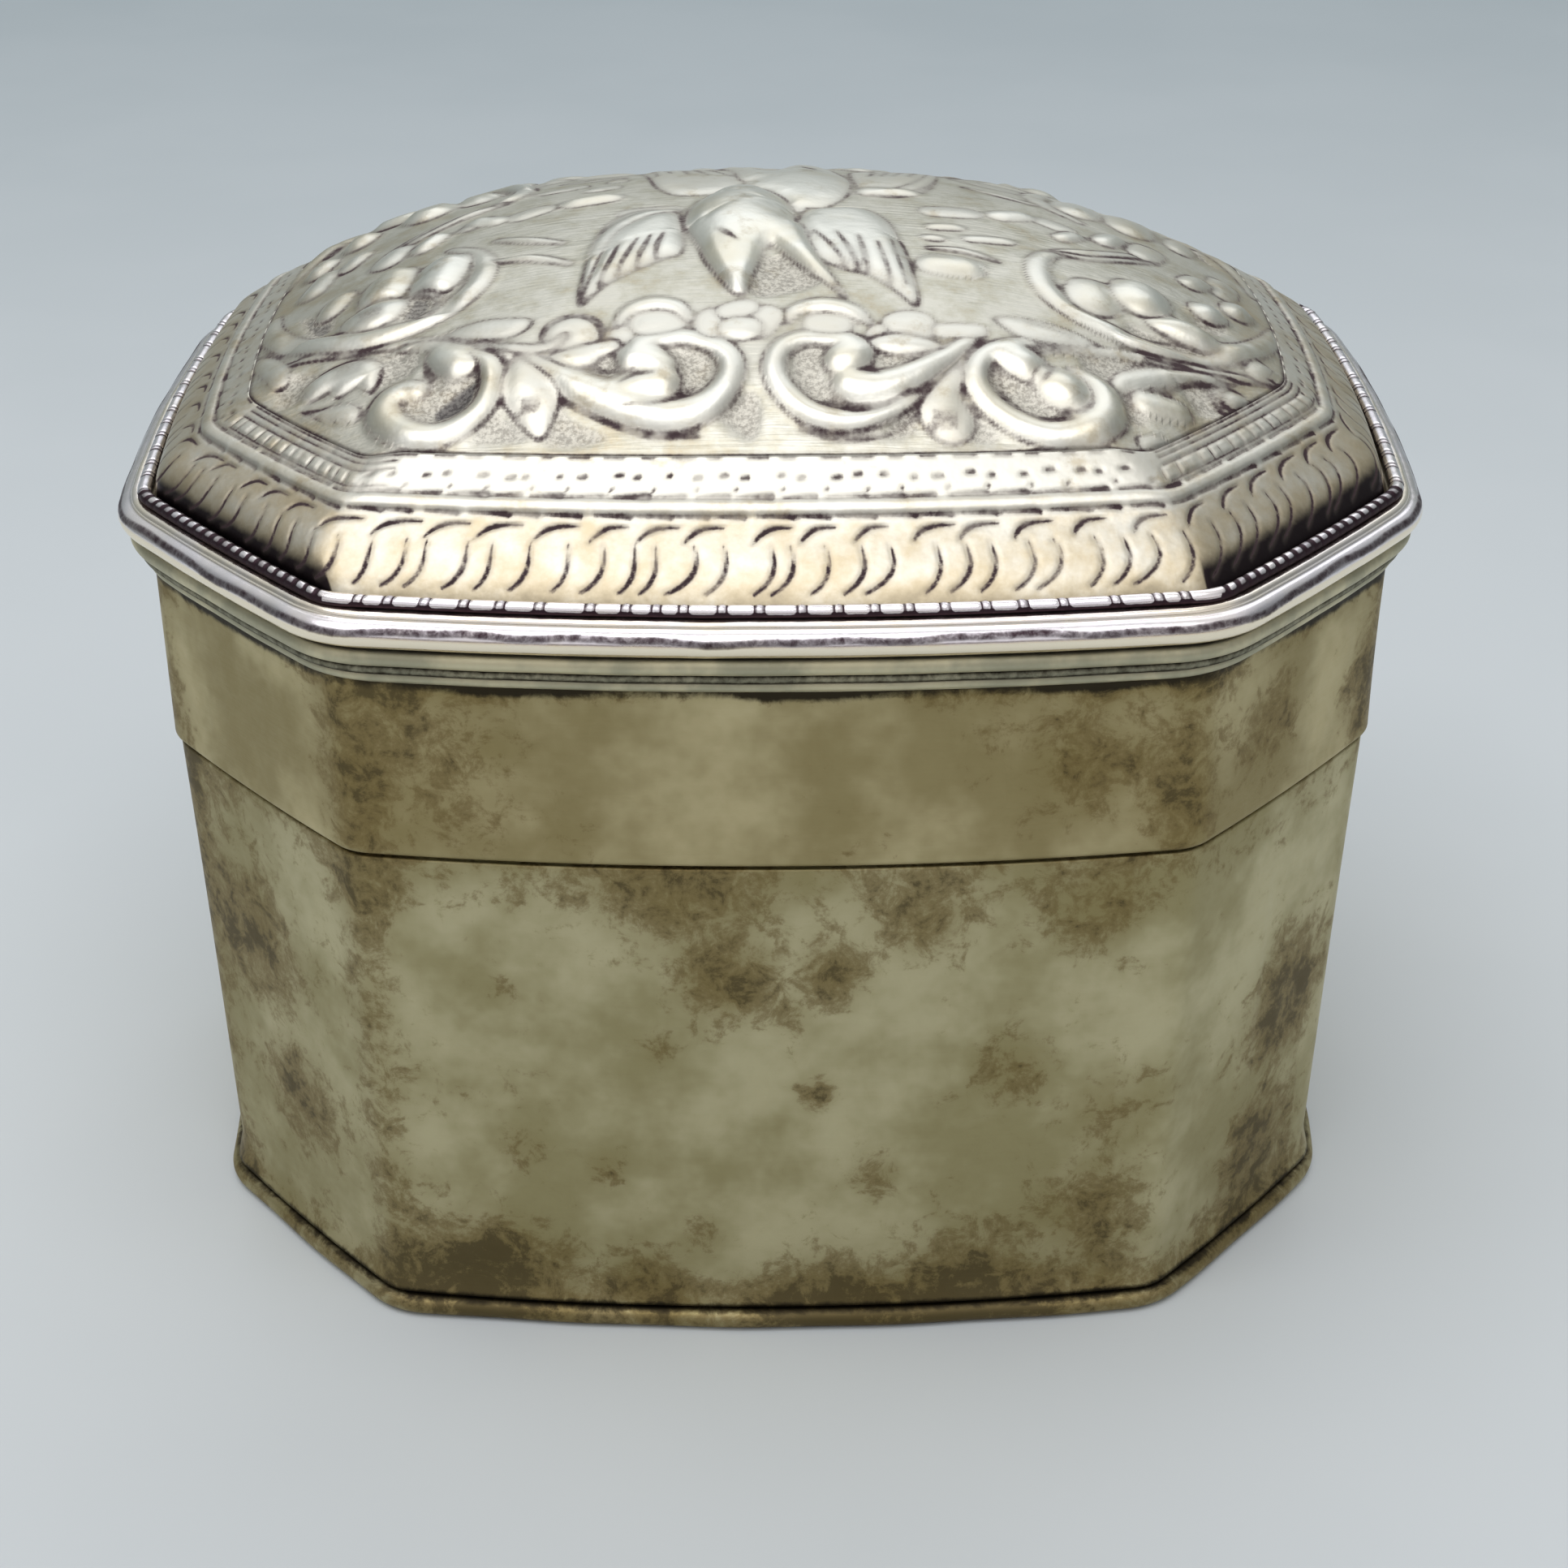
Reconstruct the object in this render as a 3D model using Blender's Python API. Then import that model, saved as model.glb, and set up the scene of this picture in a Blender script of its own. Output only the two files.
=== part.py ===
"""Oblong octagonal silver box with a deep lid that lifts straight off.

Metres, +Z up. The long front side faces -Y and the origin is under the middle of the base.
Every ring of the box is a parallel offset of one plan, the outside of the lid's skirt.
"""

import math

import bmesh
import bpy
import numpy as np

# Plan of the lid's skirt: an oblong octagon whose sides bow gently outward
half_length = 0.0428
half_width = 0.0342
cut_along = 0.0146
cut_across = 0.0164
front_bow = 0.0021
end_bow = 0.0008
cut_bow = 0.0003

# Fit between soldered or sliding sheets
seat_gap = 0.0003

# Base plate, whose edge stands out round the wall as a rounded lip
base_thickness = 0.0015
lip_inset = 0.0002
lip_corner = 0.0022

# Body wall, folded from one strip and narrowing towards the base
seam_height = 0.0391
wall_thickness = 0.0007
wall_top_inset = 0.0004
wall_foot_inset = 0.00145
flare_reach = 0.0005
flare_height = 0.0026
fold_round = 0.0012

# Neck collar, soldered inside the wall, which the lid slides over
collar_thickness = 0.0006
collar_depth = 0.0090
collar_rise = 0.0114
collar_lead = 0.0004

# Lid skirt
skirt_reach = 0.0136
skirt_thickness = 0.0007
skirt_turn_in = 0.00012
skirt_turn_height = 0.0005

# Reeded strip round the skirt: three beads, each a height and how far it stands out
strip_bead_heights = (0.00065, 0.00110, 0.00095)
strip_bead_reaches = (0.00050, 0.00115, 0.00155)
bead_radius_share = 0.54

# Rim wire above it: a half-round reed with a small fillet on its shoulder
reed_radius = 0.00090
reed_reach = 0.00220
fillet_radius = 0.00035
fillet_reach = 0.00120
rim_corner = 0.0030

# Notched wire lying in the corner between the rim and the dome
notch_wire_radius = 0.00050
notch_wire_corner = 0.0014

# Dome, raised from one sheet: a flat flange, a full band, a border with a low ridge and the crown
sheet_thickness = 0.0007
flange_width = 0.0016
band_run = 0.0041
band_rise = 0.0037
band_swell = 0.00045
band_fullness_power = 0.55
ridge_inset = 0.0013
ridge_width = 0.0008
ridge_height = 0.00020
border_width = 0.0042
crown_height = 0.0110
crown_power = 2.7

# The dome's border is drawn wider over some sides, from the right end round by the back
border_pull = 0.0020
border_pull_run_share = 0.83
border_pull_side_shares = (0.9, 0.1, 0.0, 0.8, 1.0, 0.8, 0.0, 0.1)

# Raised ornament on the crown. A form is a height share and its strokes. A stroke is a row of places,
# each with shares of the half length, of the half width and of the stroke's usual reach.
relief_height = 0.0011
relief_reach = 0.0013
relief_softness_power = 1.2
relief_rear_height_share = 0.75

# Four scrolls along one long side, each a curling band with lobes inside
scroll_form_shares = (
    (0.75, (
        ((-0.58, -0.44, 0.3), (-0.51, -0.48, 0.6), (-0.45, -0.53, 0.8), (-0.43, -0.60, 0.9), (-0.44, -0.67, 0.9),
         (-0.48, -0.71, 1.0), (-0.54, -0.72, 1.1), (-0.58, -0.68, 1.2), (-0.61, -0.62, 1.3), (-0.60, -0.57, 1.2),
         (-0.56, -0.59, 0.9)),
        ((-0.52, -0.51, 0.9), (-0.49, -0.54, 1.3), (-0.49, -0.59, 1.3), (-0.50, -0.62, 0.8)),
    )),
    (0.75, (
        ((-0.46, -0.49, 0.3), (-0.36, -0.59, 0.9), (-0.29, -0.65, 1.2), (-0.22, -0.69, 1.4), (-0.15, -0.71, 1.2),
         (-0.10, -0.70, 1.1), (-0.07, -0.65, 1.0), (-0.06, -0.60, 0.9), (-0.09, -0.56, 0.8), (-0.14, -0.54, 0.8),
         (-0.19, -0.54, 0.9), (-0.22, -0.57, 0.9)),
        ((-0.21, -0.58, 0.8), (-0.18, -0.59, 1.2), (-0.17, -0.61, 1.1)),
        ((-0.25, -0.66, 0.7), (-0.20, -0.66, 1.1), (-0.16, -0.66, 1.3), (-0.14, -0.64, 0.9)),
    )),
    (0.75, (
        ((0.22, -0.67, 0.3), (0.18, -0.70, 0.6), (0.12, -0.73, 0.8), (0.06, -0.72, 0.9), (0.02, -0.67, 0.9),
         (0.00, -0.62, 0.9), (0.02, -0.57, 0.8), (0.05, -0.54, 0.8), (0.10, -0.54, 0.9), (0.13, -0.57, 0.9),
         (0.12, -0.60, 1.1)),
        ((0.32, -0.52, 0.4), (0.27, -0.57, 0.7), (0.23, -0.62, 1.0), (0.18, -0.65, 1.3), (0.14, -0.67, 1.4),
         (0.10, -0.65, 1.1)),
    )),
    (0.75, (
        ((0.46, -0.49, 0.3), (0.39, -0.52, 0.5), (0.33, -0.56, 0.7), (0.31, -0.62, 0.8), (0.32, -0.68, 0.9),
         (0.37, -0.72, 1.0), (0.43, -0.73, 1.1), (0.49, -0.70, 1.4), (0.51, -0.65, 1.6), (0.50, -0.60, 1.3),
         (0.47, -0.58, 0.8)),
        ((0.36, -0.56, 0.6), (0.39, -0.58, 1.2), (0.42, -0.60, 1.2), (0.46, -0.63, 1.4)),
    )),
)

# Hanging leaves between the scrolls, the long stems above them and the leaves in the corners
leaf_form_shares = (
    (0.35, (((-0.38, -0.58, 0.6), (-0.37, -0.65, 1.7), (-0.35, -0.73, 0.4)),)),
    (0.35, (((0.28, -0.61, 0.6), (0.26, -0.69, 1.6), (0.26, -0.75, 0.7)),)),
    (0.40, (((-0.77, -0.36, 0.4), (-0.58, -0.43, 0.6), (-0.45, -0.50, 0.5)),)),
    (0.45, (((0.81, -0.39, 0.4), (0.58, -0.46, 0.6), (0.40, -0.53, 0.8), (0.32, -0.56, 0.6)),)),
    (0.45, (((-0.72, -0.49, 0.9), (-0.67, -0.50, 1.4), (-0.62, -0.51, 1.0)),)),
    (0.45, (((0.73, -0.44, 0.4), (0.61, -0.51, 0.9), (0.54, -0.58, 0.7)),)),
    (0.60, (((0.57, -0.59, 0.9), (0.61, -0.60, 1.1), (0.65, -0.60, 0.9)),)),
)

# A large scroll over each end, round four bosses
end_form_shares = (
    (0.55, (((-0.84, -0.01, 0.6), (-0.83, -0.13, 0.9), (-0.78, -0.25, 1.0), (-0.71, -0.34, 1.1),
             (-0.62, -0.38, 1.1), (-0.53, -0.36, 1.1), (-0.48, -0.29, 1.0), (-0.46, -0.19, 0.9),
             (-0.49, -0.10, 0.7), (-0.53, -0.04, 0.4)),)),
    (0.80, (((-0.54, -0.22, 1.5), (-0.54, -0.13, 1.5)),)),
    (0.80, (((-0.63, -0.20, 1.5), (-0.63, -0.11, 1.5)),)),
    (0.60, (((-0.65, -0.28, 1.8), (-0.63, -0.28, 1.8)),)),
    (0.55, (((-0.72, -0.16, 1.1), (-0.72, -0.10, 1.1)),)),
    (0.55, (((0.85, -0.08, 0.5), (0.82, -0.20, 0.8), (0.77, -0.31, 0.9), (0.69, -0.39, 1.0),
             (0.58, -0.42, 1.0), (0.49, -0.38, 1.0), (0.44, -0.30, 0.9), (0.43, -0.20, 0.8),
             (0.47, -0.12, 0.7), (0.54, -0.06, 0.6)),)),
    (0.55, (((0.52, -0.31, 1.8), (0.52, -0.27, 1.8)),)),
    (0.75, (((0.63, -0.32, 1.3), (0.68, -0.34, 1.3)),)),
    (0.80, (((0.60, -0.27, 1.7), (0.60, -0.21, 1.7)),)),
    (0.65, (((0.71, -0.20, 1.3), (0.73, -0.17, 1.3)),)),
)

# The bud that ends in two feet, with a wing on either side, and a lump beside it
bud_form_shares = (
    (0.45, (((-0.22, -0.04, 1.6), (-0.24, -0.18, 2.6), (-0.27, -0.30, 1.2), (-0.30, -0.41, 0.3)),)),
    (0.45, (((0.13, -0.04, 1.6), (0.15, -0.18, 2.6), (0.18, -0.30, 1.2), (0.23, -0.42, 0.3)),)),
    (1.55, (
        ((-0.05, 0.09, 2.2), (-0.06, 0.02, 3.1), (-0.07, -0.06, 3.4), (-0.07, -0.15, 2.9), (-0.06, -0.24, 2.0)),
        ((-0.02, -0.07, 2.2), (0.01, -0.17, 1.6)),
    )),
    (1.10, (((-0.06, -0.20, 2.2), (-0.06, -0.31, 1.8), (-0.05, -0.40, 1.2)),)),
    (0.90, (((0.01, -0.15, 1.6), (0.05, -0.26, 1.3), (0.09, -0.34, 0.9)),)),
    (0.55, (((0.27, -0.27, 1.4), (0.31, -0.27, 1.4)),)),
)

# How far towards the back each group is moved where it is repeated there, turned half round
end_shift_share = 0.12
bud_shift_share = 0.15

# Points round the plan on each kind of side and corner
front_points = 9
end_points = 5
cut_points = 3
corner_steps = 2
flare_points = 4
bead_steps = 5
reed_steps = 7
lip_steps = 7
wire_sides = 8
band_steps = 5
inner_crown_rings = 6
net_long_cells = 40
net_end_cells = 27
net_cut_cells = 10

silver_dull = (0.26, 0.24, 0.17, 1.0)
silver_plain = (0.30, 0.28, 0.20, 1.0)
silver_pale = (0.62, 0.60, 0.50, 1.0)
silver_bright = (0.78, 0.74, 0.66, 1.0)


def clear_scene():
    for item in list(bpy.data.objects):
        bpy.data.objects.remove(item, do_unlink=True)


def metal(name, colour, roughness):
    """A plain metal with one colour and one roughness."""
    material = bpy.data.materials.new(name)
    material.use_nodes = True
    shader = material.node_tree.nodes["Principled BSDF"]
    shader.inputs["Base Color"].default_value = colour
    shader.inputs["Metallic"].default_value = 1.0
    shader.inputs["Roughness"].default_value = roughness
    return material


def plan_corners(offset, pull):
    """The eight corners of the plan, anticlockwise from the right end, each side moved outward in parallel.

    Every side moves by offset and by its own share of pull.
    """
    front_corner = half_length - cut_along
    end_corner = half_width - cut_across
    corners = np.array([
        (half_length, -end_corner),
        (half_length, end_corner),
        (front_corner, half_width),
        (-front_corner, half_width),
        (-half_length, end_corner),
        (-half_length, -end_corner),
        (-front_corner, -half_width),
        (front_corner, -half_width),
    ])
    along = np.roll(corners, -1, axis=0) - corners
    outward = np.column_stack([along[:, 1], -along[:, 0]]) / np.linalg.norm(along, axis=1)[:, None]
    reach = offset + pull * np.array(border_pull_side_shares)
    for index in range(8):
        sides = [index - 1, index]
        corners[index] += np.linalg.solve(outward[sides], reach[sides])
    return corners


def plan_ring(offset, round_length, pull=0.0):
    """Points round the plan at an offset: bowed sides joined by rounded corners.

    round_length is how far each corner's rounding reaches along the two sides it joins.
    """
    corners = plan_corners(offset, pull)
    bows = (end_bow, cut_bow, front_bow, cut_bow) * 2
    counts = (end_points, cut_points, front_points, cut_points) * 2
    sides = []
    for index in range(8):
        start = corners[index]
        along = corners[(index + 1) % 8] - start
        side_length = np.linalg.norm(along)
        outward = np.array([along[1], -along[0]]) / side_length
        trim = round_length / side_length
        share = np.linspace(trim, 1.0 - trim, counts[index])[:, None]
        sides.append(start + along * share + outward * bows[index] * 4.0 * share * (1.0 - share))
    ring = []
    for index in range(8):
        ring.append(sides[index])
        before = sides[index][-1]
        after = sides[(index + 1) % 8][0]
        corner = corners[(index + 1) % 8]
        for step in range(1, corner_steps + 1):
            share = step / (corner_steps + 1)
            curve = (1 - share) ** 2 * before + 2 * share * (1 - share) * corner + share ** 2 * after
            ring.append(curve[None])
    return np.concatenate(ring)


def lifted(ring, height):
    """A plan ring set at a height."""
    return np.column_stack([ring, np.full(len(ring), height)])


def ring_faces(ring_count, ring_size, closed):
    """Quads between following rings, and from the last ring to the first if closed."""
    faces = []
    for lower in range(ring_count if closed else ring_count - 1):
        upper = (lower + 1) % ring_count
        for here in range(ring_size):
            following = (here + 1) % ring_size
            faces.append((
                lower * ring_size + here,
                lower * ring_size + following,
                upper * ring_size + following,
                upper * ring_size + here,
            ))
    return faces


def solid(name, points, faces, material, sharp_degrees=32):
    """One closed object with its faces turned outward, shaded smooth but at folds sharper than an angle."""
    mesh = bpy.data.meshes.new(name)
    work = bmesh.new()
    corners = [work.verts.new(point) for point in points]
    for face in faces:
        work.faces.new([corners[index] for index in face])
    bmesh.ops.recalc_face_normals(work, faces=work.faces)
    work.to_mesh(mesh)
    work.free()
    mesh.shade_smooth()
    mesh.set_sharp_from_angle(angle=math.radians(sharp_degrees))
    mesh.materials.append(material)
    item = bpy.data.objects.new(name, mesh)
    bpy.context.scene.collection.objects.link(item)
    return item


def band_solid(name, profile, round_length, material):
    """Carries a closed profile of (offset, height) points round the plan."""
    rings = [lifted(plan_ring(offset, round_length), height) for offset, height in profile]
    size = len(rings[0])
    return solid(name, np.concatenate(rings), ring_faces(len(rings), size, True), material)


def bead_points(reach, middle, radius, steps, start_degrees, end_degrees):
    """Points on a bead's round face, from below to above, as (offset, height)."""
    angles = np.radians(np.linspace(start_degrees, end_degrees, steps))
    return [(reach - radius + radius * math.cos(a), middle + radius * math.sin(a)) for a in angles]


def wall_outside(height):
    """Offset of the wall's outer face at a height, without the flare at its foot."""
    return -wall_foot_inset + (wall_foot_inset - wall_top_inset) * height / seam_height


def make_base_plate(material):
    """A flat plate with a half-round edge."""
    radius = base_thickness / 2
    angles = np.radians(np.linspace(-90, 90, lip_steps))
    centre = -lip_inset - radius
    rings = []
    for angle in angles:
        offset = centre + radius * math.cos(angle)
        rings.append(lifted(plan_ring(offset, lip_corner), radius + radius * math.sin(angle)))
    size = len(rings[0])
    faces = ring_faces(len(rings), size, False)
    faces.append(tuple(range(size)))
    faces.append(tuple(range((len(rings) - 1) * size, len(rings) * size)))
    return solid("base_plate", np.concatenate(rings), faces, material)


def make_body_wall(material):
    """The tapered wall, with a small flare where it meets the base."""
    foot = base_thickness + seat_gap
    profile = []
    for share in np.linspace(0, 1, flare_points):
        height = foot + flare_height * share
        profile.append((wall_outside(height) + flare_reach * (1 - share) ** 2, height))
    profile.append((wall_outside(seam_height / 2), seam_height / 2))
    profile.append((wall_outside(seam_height), seam_height))
    profile.append((wall_outside(seam_height) - wall_thickness, seam_height))
    profile.append((wall_outside(seam_height / 2) - wall_thickness, seam_height / 2))
    profile.append((wall_outside(foot) - wall_thickness, foot))
    return band_solid("body_wall", profile, fold_round, material)


def make_neck_collar(material):
    """The inner collar: it follows the wall below the seam and steps out to guide the skirt above."""
    bottom = seam_height - collar_depth
    top = seam_height + collar_rise
    shoulder = seam_height + seat_gap
    upper = -skirt_thickness - seat_gap
    lower = wall_outside(seam_height) - wall_thickness - seat_gap
    lowest = wall_outside(bottom) - wall_thickness - seat_gap
    profile = [
        (lowest, bottom),
        (lower, seam_height),
        (upper, shoulder + (upper - lower)),
        (upper, top - collar_lead),
        (upper - collar_lead, top),
        (upper - collar_thickness, top),
        (upper - collar_thickness, shoulder + (upper - lower)),
        (lower - collar_thickness, seam_height),
        (lowest - collar_thickness, bottom),
    ]
    return band_solid("neck_collar", profile, fold_round, material)


# Heights up the lid, each from the piece below it
skirt_foot = seam_height + seat_gap
strip_foot = seam_height + skirt_reach
strip_top = strip_foot + sum(strip_bead_heights)
reed_middle = strip_top + seat_gap + reed_radius
fillet_middle = reed_middle + reed_radius + fillet_radius / 2
flange_top = fillet_middle
flange_foot = flange_top - sheet_thickness
skirt_top = flange_foot - seat_gap
notch_wire_middle = flange_top + seat_gap + notch_wire_radius
dome_foot_offset = -notch_wire_radius - seat_gap
border_height = flange_top + band_rise


def make_lid_skirt(material):
    """The skirt, whose lower edge is turned in a little over the seam."""
    profile = [
        (-skirt_turn_in, skirt_foot),
        (0.0, skirt_foot + skirt_turn_height),
        (0.0, skirt_top),
        (-skirt_thickness, skirt_top),
        (-skirt_thickness, skirt_foot),
    ]
    return band_solid("lid_skirt", profile, fold_round, material)


def make_reeded_strip(material):
    """Three beads, each standing out further than the one below."""
    profile = [(seat_gap, strip_foot)]
    height = strip_foot
    for bead_height, reach in zip(strip_bead_heights, strip_bead_reaches):
        radius = bead_height * bead_radius_share
        middle = height + bead_height / 2
        half_angle = math.degrees(math.asin(bead_height / 2 / radius))
        profile += bead_points(reach, middle, radius, bead_steps, -half_angle, half_angle)
        height += bead_height
    profile.append((seat_gap, strip_top))
    return band_solid("reeded_strip", profile, rim_corner, material)


def make_rim_wire(material):
    """The large half-round reed and the fillet on its shoulder, drawn as one wire."""
    profile = [(seat_gap, reed_middle - reed_radius)]
    profile += bead_points(reed_reach, reed_middle, reed_radius, reed_steps, -90, 68)
    profile += bead_points(fillet_reach, fillet_middle, fillet_radius, 4, 0, 90)
    profile.append((seat_gap, fillet_middle))
    return band_solid("rim_wire", profile, rim_corner, material)


def make_notched_wire(material):
    """The round wire that hides the joint between the dome and the rim."""
    angles = np.linspace(0, 2 * math.pi, wire_sides, endpoint=False)
    profile = [
        (notch_wire_radius * math.cos(a), notch_wire_middle + notch_wire_radius * math.sin(a))
        for a in angles
    ]
    return band_solid("notched_wire", profile, notch_wire_corner, material)


def dome_ring(offset):
    """A ring of the dome's band, pulled out over the sides where the border is drawn wider."""
    share = min(1.0, (dome_foot_offset - offset) / (border_pull_run_share * band_run))
    return plan_ring(offset, fold_round, border_pull * math.sin(math.pi / 2 * share))


def ring_radius(ring, angle):
    """Distance of a closed ring from the middle, in the directions given."""
    angles = np.arctan2(ring[:, 1], ring[:, 0])
    return np.interp(angle, *zip(*sorted(zip(angles, np.linalg.norm(ring, axis=1)))), period=2 * math.pi)


def crown_heights(flat):
    """Height of the plain crown at points of the plan.

    Along each direction the crown's level rings change from the border's octagon to an oval in the
    middle: a radius is share * (share * octagon + (1 - share) * oval), which is solved for the share.
    """
    radius = np.linalg.norm(flat, axis=1)
    angle = np.arctan2(flat[:, 1], flat[:, 0])
    octagon = ring_radius(dome_ring(dome_foot_offset - band_run), angle)
    reach = band_run - dome_foot_offset
    oval_length = half_length - reach + border_pull / 2
    oval_width = half_width - reach + front_bow
    oval = 1 / np.hypot(np.cos(angle) / oval_length, np.sin(angle) / oval_width)
    share = 2 * radius / (oval + np.sqrt(oval ** 2 + 4 * (octagon - oval) * radius))
    return border_height + crown_height * (1 - share ** crown_power)


def crown_ring(inset, rise):
    """A ring of the crown, parallel to its border and further in, raised a little."""
    flat = dome_ring(dome_foot_offset - band_run - inset)
    return np.column_stack([flat, crown_heights(flat) + rise])


def hollow_ring(share, drop):
    """A ring under the crown: the border drawn together to a share of its size, dropped by a depth."""
    flat = share * dome_ring(dome_foot_offset - band_run)
    return np.column_stack([flat, crown_heights(flat) - drop])


def stroke_depth(flat, stroke):
    """How deep each point lies in a stroke: 1 on its middle line, 0 at its edge and beyond."""
    depth = np.zeros(len(flat))
    for start, stop in zip(stroke[:-1], stroke[1:]):
        along = stop[:2] - start[:2]
        share = np.clip((flat - start[:2]) @ along / (along @ along), 0.0, 1.0)
        reach = start[2] + share * (stop[2] - start[2])
        gap = np.linalg.norm(flat - start[:2] - share[:, None] * along, axis=1)
        depth = np.maximum(depth, 1.0 - gap / reach)
    return depth


def raise_forms(flat, rise, forms, height):
    """The larger of rise and the height of these forms at each point."""
    sizes = np.array([half_length, half_width, relief_reach])
    for height_share, strokes in forms:
        depth = np.max([stroke_depth(flat, np.array(stroke) * sizes) for stroke in strokes], axis=0)
        pillow = (1 - (1 - depth) ** 2) ** relief_softness_power
        rise = np.maximum(rise, height * height_share * pillow)
    return rise


def ornament(flat):
    """How far the raised ornament stands above the plain crown at each point."""
    rise = np.zeros(len(flat))
    side_forms = scroll_form_shares + leaf_form_shares
    front_forms = side_forms + end_form_shares + bud_form_shares
    rise = raise_forms(flat, rise, front_forms, relief_height)
    low = relief_height * relief_rear_height_share
    for forms, shift_share in (
        (side_forms, 0.0),
        (end_form_shares, end_shift_share),
        (bud_form_shares, bud_shift_share),
    ):
        turned = np.array([0.0, half_width * shift_share]) - flat
        rise = raise_forms(turned, rise, forms, low)
    return rise


def field_net():
    """Points of the net laid over the field, column by column, and how many points each column has.

    The field is an octagon, so the net is a rectangle of cells whose four corners are cut off along
    the cells' diagonals. Columns run from front to back.
    """
    corners = plan_corners(dome_foot_offset - band_run - border_width, border_pull)
    cut = net_cut_cells
    last = 2 * cut + net_long_cells
    left = np.mean(corners[[4, 5], 0])
    right = np.mean(corners[[0, 1], 0])
    left_corner = np.mean(corners[[3, 6], 0])
    right_corner = np.mean(corners[[2, 7], 0])
    stops = [0, cut, last - cut, last]
    places = np.interp(range(last + 1), stops, [left, left_corner, right_corner, right])
    front = np.interp(range(last + 1), stops, corners[[5, 6, 7, 0], 1])
    back = np.interp(range(last + 1), stops, corners[[4, 3, 2, 1], 1])
    long_share = np.clip((np.arange(last + 1) - cut) / net_long_cells, 0.0, 1.0)
    bow = front_bow * 4.0 * long_share * (1.0 - long_share)
    columns = []
    for column in range(last + 1):
        cells = net_end_cells + 2 * min(column, last - column, cut)
        share = np.linspace(0.0, 1.0, cells + 1)
        across = front[column] - bow[column] + (back[column] - front[column] + 2 * bow[column]) * share
        end_side = max(0.0, abs(2 * column / last - 1.0) * last / 2 - last / 2 + cut) / cut
        outward = end_bow * end_side * math.copysign(1.0, places[column])
        along = places[column] + outward * 4.0 * share * (1.0 - share)
        columns.append(np.column_stack([along, across]))
    return columns


def net_faces(columns, start, rise):
    """Triangles between following columns. Where one is longer, a corner triangle closes either end.

    Each cell is split along the diagonal whose ends are more alike in rise, so that folds follow the forms.
    """
    first = start
    faces = []
    for here, following in zip(columns[:-1], columns[1:]):
        after = start + len(here)
        grows = max(0, (len(following) - len(here)) // 2)
        shrinks = max(0, (len(here) - len(following)) // 2)
        for step in range(min(len(here), len(following)) - 1):
            low = start + shrinks + step
            high = after + grows + step
            level = abs(rise[low - first] - rise[high + 1 - first])
            crossing = abs(rise[high - first] - rise[low + 1 - first])
            if level <= crossing:
                faces.append((low, high, high + 1))
                faces.append((low, high + 1, low + 1))
            else:
                faces.append((low, high, low + 1))
                faces.append((high, high + 1, low + 1))
        if grows:
            faces.append((start, after, after + 1))
            faces.append((after - 1, after + len(following) - 2, after + len(following) - 1))
        if shrinks:
            faces.append((start, after, start + 1))
            faces.append((after - 1, after - 2, after + len(following) - 1))
        start = after
    return faces


def net_edge(columns, start):
    """The net's outer points in order, anticlockwise."""
    firsts = start + np.cumsum([0] + [len(column) for column in columns])
    front = list(firsts[:-1])
    back = list(firsts[1:] - 1)
    return front + list(range(front[-1] + 1, back[-1])) + back[::-1] + list(range(back[0] - 1, front[0], -1))


def zip_faces(points, outer, inner):
    """Triangles between two rings of unlike point counts, both walked by their angle round the middle."""
    walks = []
    for ring in (outer, inner):
        angles = np.arctan2(points[ring, 1], points[ring, 0])
        order = np.argsort(angles)
        walk = [ring[index] for index in order]
        walks.append((walk + walk[:1], list(angles[order]) + [angles[order[0]] + 2 * math.pi, math.inf]))
    (outer_walk, outer_angles), (inner_walk, inner_angles) = walks
    faces = []
    left = 0
    right = 0
    while left < len(outer) or right < len(inner):
        if outer_angles[left + 1] <= inner_angles[right + 1]:
            faces.append((outer_walk[left], outer_walk[left + 1], inner_walk[right]))
            left += 1
        else:
            faces.append((outer_walk[left], inner_walk[right + 1], inner_walk[right]))
            right += 1
    return faces


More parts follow.
